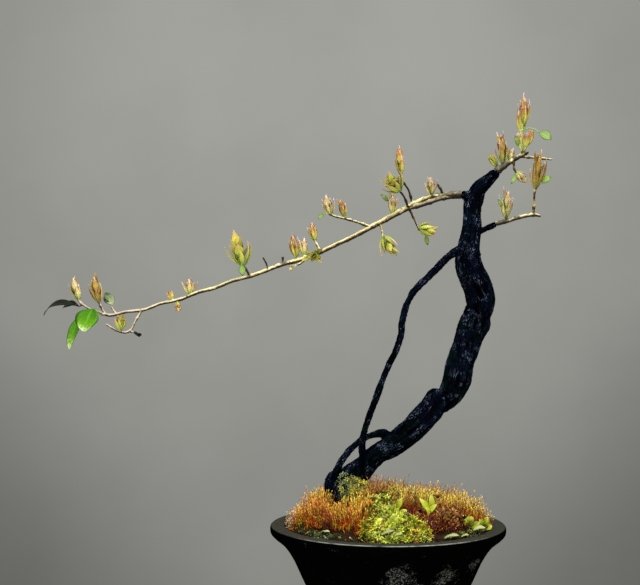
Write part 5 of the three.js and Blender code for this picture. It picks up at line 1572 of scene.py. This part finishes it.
class BONSAI_OT_moss(bpy.types.Operator):
    """Grows the moss cushions: felt, leafy stalks, and bristles with capsules"""

    bl_idname = "bonsai.moss"
    bl_label = "Moss"

    def execute(self, context):
        moss = context.scene.bonsai_moss
        brown = linear("7a3c14")
        # Each carpet's colours are darker copies of a moss colour: painted shade in the low layer under the
        # strands.
        shaded_carpets = {
            "rust": (linear("140201"), darker(moss.rust, 0.3), darker(moss.rust, 0.9),
                     darker(moss.gold, 0.6), 0.5),
            "gold": (linear("180703"), darker(moss.gold, 0.2), darker(moss.gold, 0.7),
                     darker(moss.rust, 0.6), 0.4),
            "lime": (linear("1c2404"), darker(moss.lime, 0.5), moss.lime, linear("d8901e"), 0.35),
            "maroon": (linear("100302"), darker(brown, 0.6), linear("b0702c"), moss.maroon, 0.62),
        }
        finishes = {("carpet", kind): moss_finish("moss_carpet_" + kind, *look)
                    for kind, look in shaded_carpets.items()}
        for (layer, kind), (codes, stray) in MOSS_LOOKS.items():
            finishes[layer, kind] = moss_finish(f"moss_{layer}_{kind}", *colours(codes), stray)
        stalks, bristles = strewing("moss_stalks", moss_stalk), strewing("moss_bristles", bristle)
        rosettes, leafy = strewing("moss_rosettes", rosette), strewing("leafy_moss", rosette, "leafy")
        bed = moss_bed("moss_felt", *colours("140a04 3a2410"))
        for seed, (name, (_, height, kind)) in enumerate(MOSS.items(), 30):
            piece = moss_cushion(name, bed)
            full = BACK_SHARE if "back" in name else 1.0
            thick, thin, bare = [moss.thickness * share for share in (1.3, 0.9, 0.36)]
            broad = ROSETTE_WIDTH * MM
            # Each layer: its tree, density, width, height, lean and how far it stands upright.
            layers = (
                ("carpet", stalks, full * moss.stalks, thick, height * 0.42, 0.3, 0.5),
                ("strands", stalks, full * moss.strands, thin, height * 0.62, 0.35, 0.6),
                ("bristles", bristles, moss.capsules, bare, height * 1.5, 0.2, 0.75),
                ("whorls", leafy, 0.06, broad, 8.5, 0.35, 0.6))
            if height < LOW_MOSS:
                layers = (
                    ("carpet", stalks, full * moss.stalks * 1.7, thick, height * 0.9, 0.3, 0.5),
                    ("strands", stalks, full * moss.strands * 0.4, thin, 8, 0.35, 0.6),
                    ("bristles", bristles, moss.capsules * 0.5, bare, 9, 0.2, 0.75),
                    ("whorls", rosettes, 0.035, broad, 5.4, 0.35, 0.6))
            for turn, (layer, tree, density, width, tallness, lean, upright) in enumerate(layers):
                strew(piece, tree, finishes[layer, kind], density, width, tallness * MM, lean, upright,
                      seed + 20 * turn)
            handed_over(piece, "moss_" + kind, name)
        return {"FINISHED"}


class BONSAI_OT_base_moss(bpy.types.Operator):
    """Covers the front of the tree's base with short grey-green moss"""

    bl_idname = "bonsai.base_moss"
    bl_label = "Moss on the wood"

    def execute(self, context):
        moss = context.scene.bonsai_moss
        rows, sides = 26, 44
        rings, grow, tall = [], [0.0], [1.0]
        at, size = Vector(BASE_MOSS["at"]), BASE_MOSS["size"]
        for row in range(1, rows):
            ring = []
            for side in range(sides):
                lat, lon = math.pi * row / rows, 2 * math.pi * side / sides
                way = Vector((math.sin(lat) * math.cos(lon), math.sin(lat) * math.sin(lon), -math.cos(lat)))
                knob = 0.93 + 0.07 * math.sin(11 * way.x + 3) * math.sin(9 * way.y)
                knob += 0.06 * math.sin(12 * way.z + 5 * way.x)
                ring.append(at + Vector([w * s * knob for w, s in zip(way, size)]))
                grow.append(max(0.2, min(1.0, 0.9 + 1.2 * way.x)))
                tall.append(0.8 + 0.4 * noise.noise(way * 2.5))
            rings.append(ring)
        shape = Shape()
        points, faces = skin(rings, at - UP * size[2], at + UP * size[2])
        shape.add(points, faces, grow=[*grow, 1.0], tall=[*tall, 1.0])
        felt = moss_bed("grey_moss_felt", *colours("030402 12180c"))
        piece = shape.piece("base_moss_felt", felt)
        stalks = moss_finish("grey_moss_tufts", linear("040602"), darker(moss.grey, 0.7), linear("fcfce0"),
                             linear("d8d040"), 0.6, 11.0)
        strew(piece, strewing("moss_tufts", rosette), stalks, density=BASE_TUFT_DENSITY,
              width=3.6 * MM, height=3.4 * MM, lean=0.6, upright=0.1, seed=9)
        handed_over(piece, "moss_grey", "base_moss")
        return {"FINISHED"}


class BONSAI_OT_plantlets(bpy.types.Operator):
    """Plants the small leafy seedlings and the pale leaves that lie on the moss"""

    bl_idname = "bonsai.plantlets"
    bl_label = "Small plants"

    def execute(self, context):
        blades = leaf_blade("seedling_leaf", *colours("7c9c10 bccc1c ccd82c ece87c ecec8c"), 0.45)
        pale = leaf_blade("fallen_pale_leaf", *colours("8a9a48 a4ac5c b4b478 ccc89c dcd8b4"), 0.55)
        thickness = 0.35
        plants = {**PLANTLETS, **SEEDLINGS}
        for seed, (name, ((x, y), _, leaves, length)) in enumerate(plants.items(), 400):
            numbers = seeded_random(seed)
            foot = soil_height(math.hypot(x, y)) + SEAT_GAP
            shape = Shape()
            stem = [(x, y, foot, 1.3), (x, y, foot + 3, 1.1), (x, y, foot + 8, 0.6)]
            points, faces, _ = limb(stem, 9, 1.0)
            shape.add(points, faces, along=0.1, across=0.0, tint=0.5)
            for leaf in range(leaves):
                angle = leaf * GOLDEN_ANGLE + next(numbers) * 0.3
                out = Vector((math.cos(angle), math.sin(angle), 0))
                start = Vector((x, y, foot + 1.5 + leaf * 1.1)) + out * 0.8
                lean = 0.95 - 0.11 * leaf
                way = Vector((0, 0, math.cos(lean))) + out * math.sin(lean)
                tip = start + way * length * (0.75 + 0.25 * next(numbers))
                blade(shape, start, tip, UP * 0.6 + TO_VIEWER, SEEDLING_LEAF, thickness, arch=0.1,
                      fold=0.35, wave=0.4, widest=0.6, rows=14, tint=next(numbers))
            handed_over(shape.piece(name + "_leaves", blades), "plantlet", *[name][:name in PLANTLETS])
        shape = Shape()
        for i, (foot, tip, width) in enumerate(GROUND_LEAVES):
            blade(shape, Vector(foot), Vector(tip), Vector((0.1, -0.9, 0.6)), width, thickness, arch=0.1,
                  fold=0.1, wave=0.2, rows=14, tint=0.5 + 0.06 * i)
        shape.finish = 1
        for i, (foot, tip, width) in enumerate(PALE_LEAVES):
            blade(shape, Vector(foot), Vector(tip), Vector((0.1, -0.4, 1)), width, thickness, arch=0.12,
                  fold=0.25, wave=0.4, rows=14, tint=0.4 + 0.08 * i)
        handed_over(shape.piece("fallen_leaves", blades, pale), "plantlet")
        return {"FINISHED"}


class BONSAI_OT_stage(bpy.types.Operator):
    """Sets up the pale floor, the grey backdrop tone, the soft lights and the camera"""

    bl_idname = "bonsai.stage"
    bl_label = "Stage"

    def execute(self, context):
        stage = context.scene.bonsai_stage
        mesh = bpy.data.meshes.new("floor")
        mesh.from_pydata(FLOOR_CORNERS, [], [(0, 1, 2, 3)])
        paint, _, _ = finish("matt_floor_paint", Roughness=0.9, Base_Color=(*stage.floor, 1))
        placed("floor", mesh, paint)
        world = bpy.data.worlds.new("studio")
        context.scene.world = world
        world.use_nodes = True
        context.scene.view_settings.view_transform = "Standard"
        tree = world.node_tree
        way = axes_of(tree, node(tree, "ShaderNodeTexCoord").outputs["Generated"])
        # The backdrop is brightest at the top of its middle and falls off towards the floor and the sides:
        # painted light, seen only by the camera.
        level = times(tree, ranged(tree, way[2], -0.30, 0.15, 0.76, 1.13),
                      ranged(tree, maths(tree, "ABSOLUTE", way[0]), 0.06, 0.32, 1, 0.8))
        corner = maths(tree, "SUBTRACT", maths(tree, "ABSOLUTE", way[0]), way[2])
        level = times(tree, level, ranged(tree, corner, 0.22, 0.42, 1, 0.66))
        mottle = node(tree, "ShaderNodeTexNoise", {"Scale": 9.0, "Detail": 3.0}).outputs[0]
        level = times(tree, level, ranged(tree, mottle, 0.25, 0.75, 0.95, 1.05))
        tree.nodes["Background"].inputs["Color"].default_value = (*stage.backdrop, 1)
        tree.links.new(level, tree.nodes["Background"].inputs["Strength"])
        ambient = node(tree, "ShaderNodeBackground", {"Color": (*stage.backdrop, 1), "Strength": 0.75})
        seen = node(tree, "ShaderNodeLightPath").outputs["Is Camera Ray"]
        both = node(tree, "ShaderNodeMixShader", {
            0: seen, 1: ambient.outputs[0], 2: tree.nodes["Background"].outputs[0]})
        tree.links.new(both.outputs[0], tree.nodes["World Output"].inputs["Surface"])
        for name, (place, aim, size, share) in LAMPS.items():
            lamp = bpy.data.lights.new(name, "AREA")
            lamp.size = size
            lamp.energy = stage.light * share
            made = bpy.data.objects.new(name, lamp)
            made.location = place
            made.rotation_euler = (Vector(aim) - Vector(place)).to_track_quat("-Z", "Y").to_euler()
            context.scene.collection.objects.link(made)
        lens = bpy.data.cameras.new("camera")
        lens.lens = LENS
        lens.sensor_width = SENSOR
        camera = bpy.data.objects.new("camera", lens)
        camera.location = CAMERA_PLACE
        camera.rotation_euler = (math.pi / 2, 0, 0)
        context.scene.collection.objects.link(camera)
        context.scene.camera = camera
        return {"FINISHED"}


OPERATORS = (
    BONSAI_OT_pot, BONSAI_OT_soil, BONSAI_OT_trunk, BONSAI_OT_branches, BONSAI_OT_shoots, BONSAI_OT_moss,
    BONSAI_OT_base_moss, BONSAI_OT_plantlets, BONSAI_OT_stage,
)
SETTINGS = {
    "bonsai_pot": PotSettings, "bonsai_soil": SoilSettings, "bonsai_wood": WoodSettings,
    "bonsai_leaves": LeafSettings, "bonsai_moss": MossSettings, "bonsai_stage": StageSettings,
}


class BONSAI_PT_panel(bpy.types.Panel):
    """Lists the bonsai's settings and pieces"""

    bl_label = "Bonsai"
    bl_idname = "BONSAI_PT_panel"
    bl_space_type = "VIEW_3D"
    bl_region_type = "UI"
    bl_category = "Bonsai"

    def draw(self, context):
        for name, group in SETTINGS.items():
            box = self.layout.box()
            box.label(text=group.__doc__)
            for setting in group.__annotations__:
                box.prop(getattr(context.scene, name), setting)
        for operator in OPERATORS:
            self.layout.operator(operator.bl_idname)


def register():
    for made in (*SETTINGS.values(), *OPERATORS, BONSAI_PT_panel):
        bpy.utils.register_class(made)
    for name, group in SETTINGS.items():
        setattr(bpy.types.Scene, name, bpy.props.PointerProperty(type=group))


def unregister():
    for name in SETTINGS:
        delattr(bpy.types.Scene, name)
    for made in (BONSAI_PT_panel, *reversed(OPERATORS), *reversed(SETTINGS.values())):
        bpy.utils.unregister_class(made)


def main():
    register()
    for operator in OPERATORS:
        getattr(bpy.ops.bonsai, operator.bl_idname.split(".")[1])()
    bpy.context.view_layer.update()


if __name__ == "__main__":
    main()
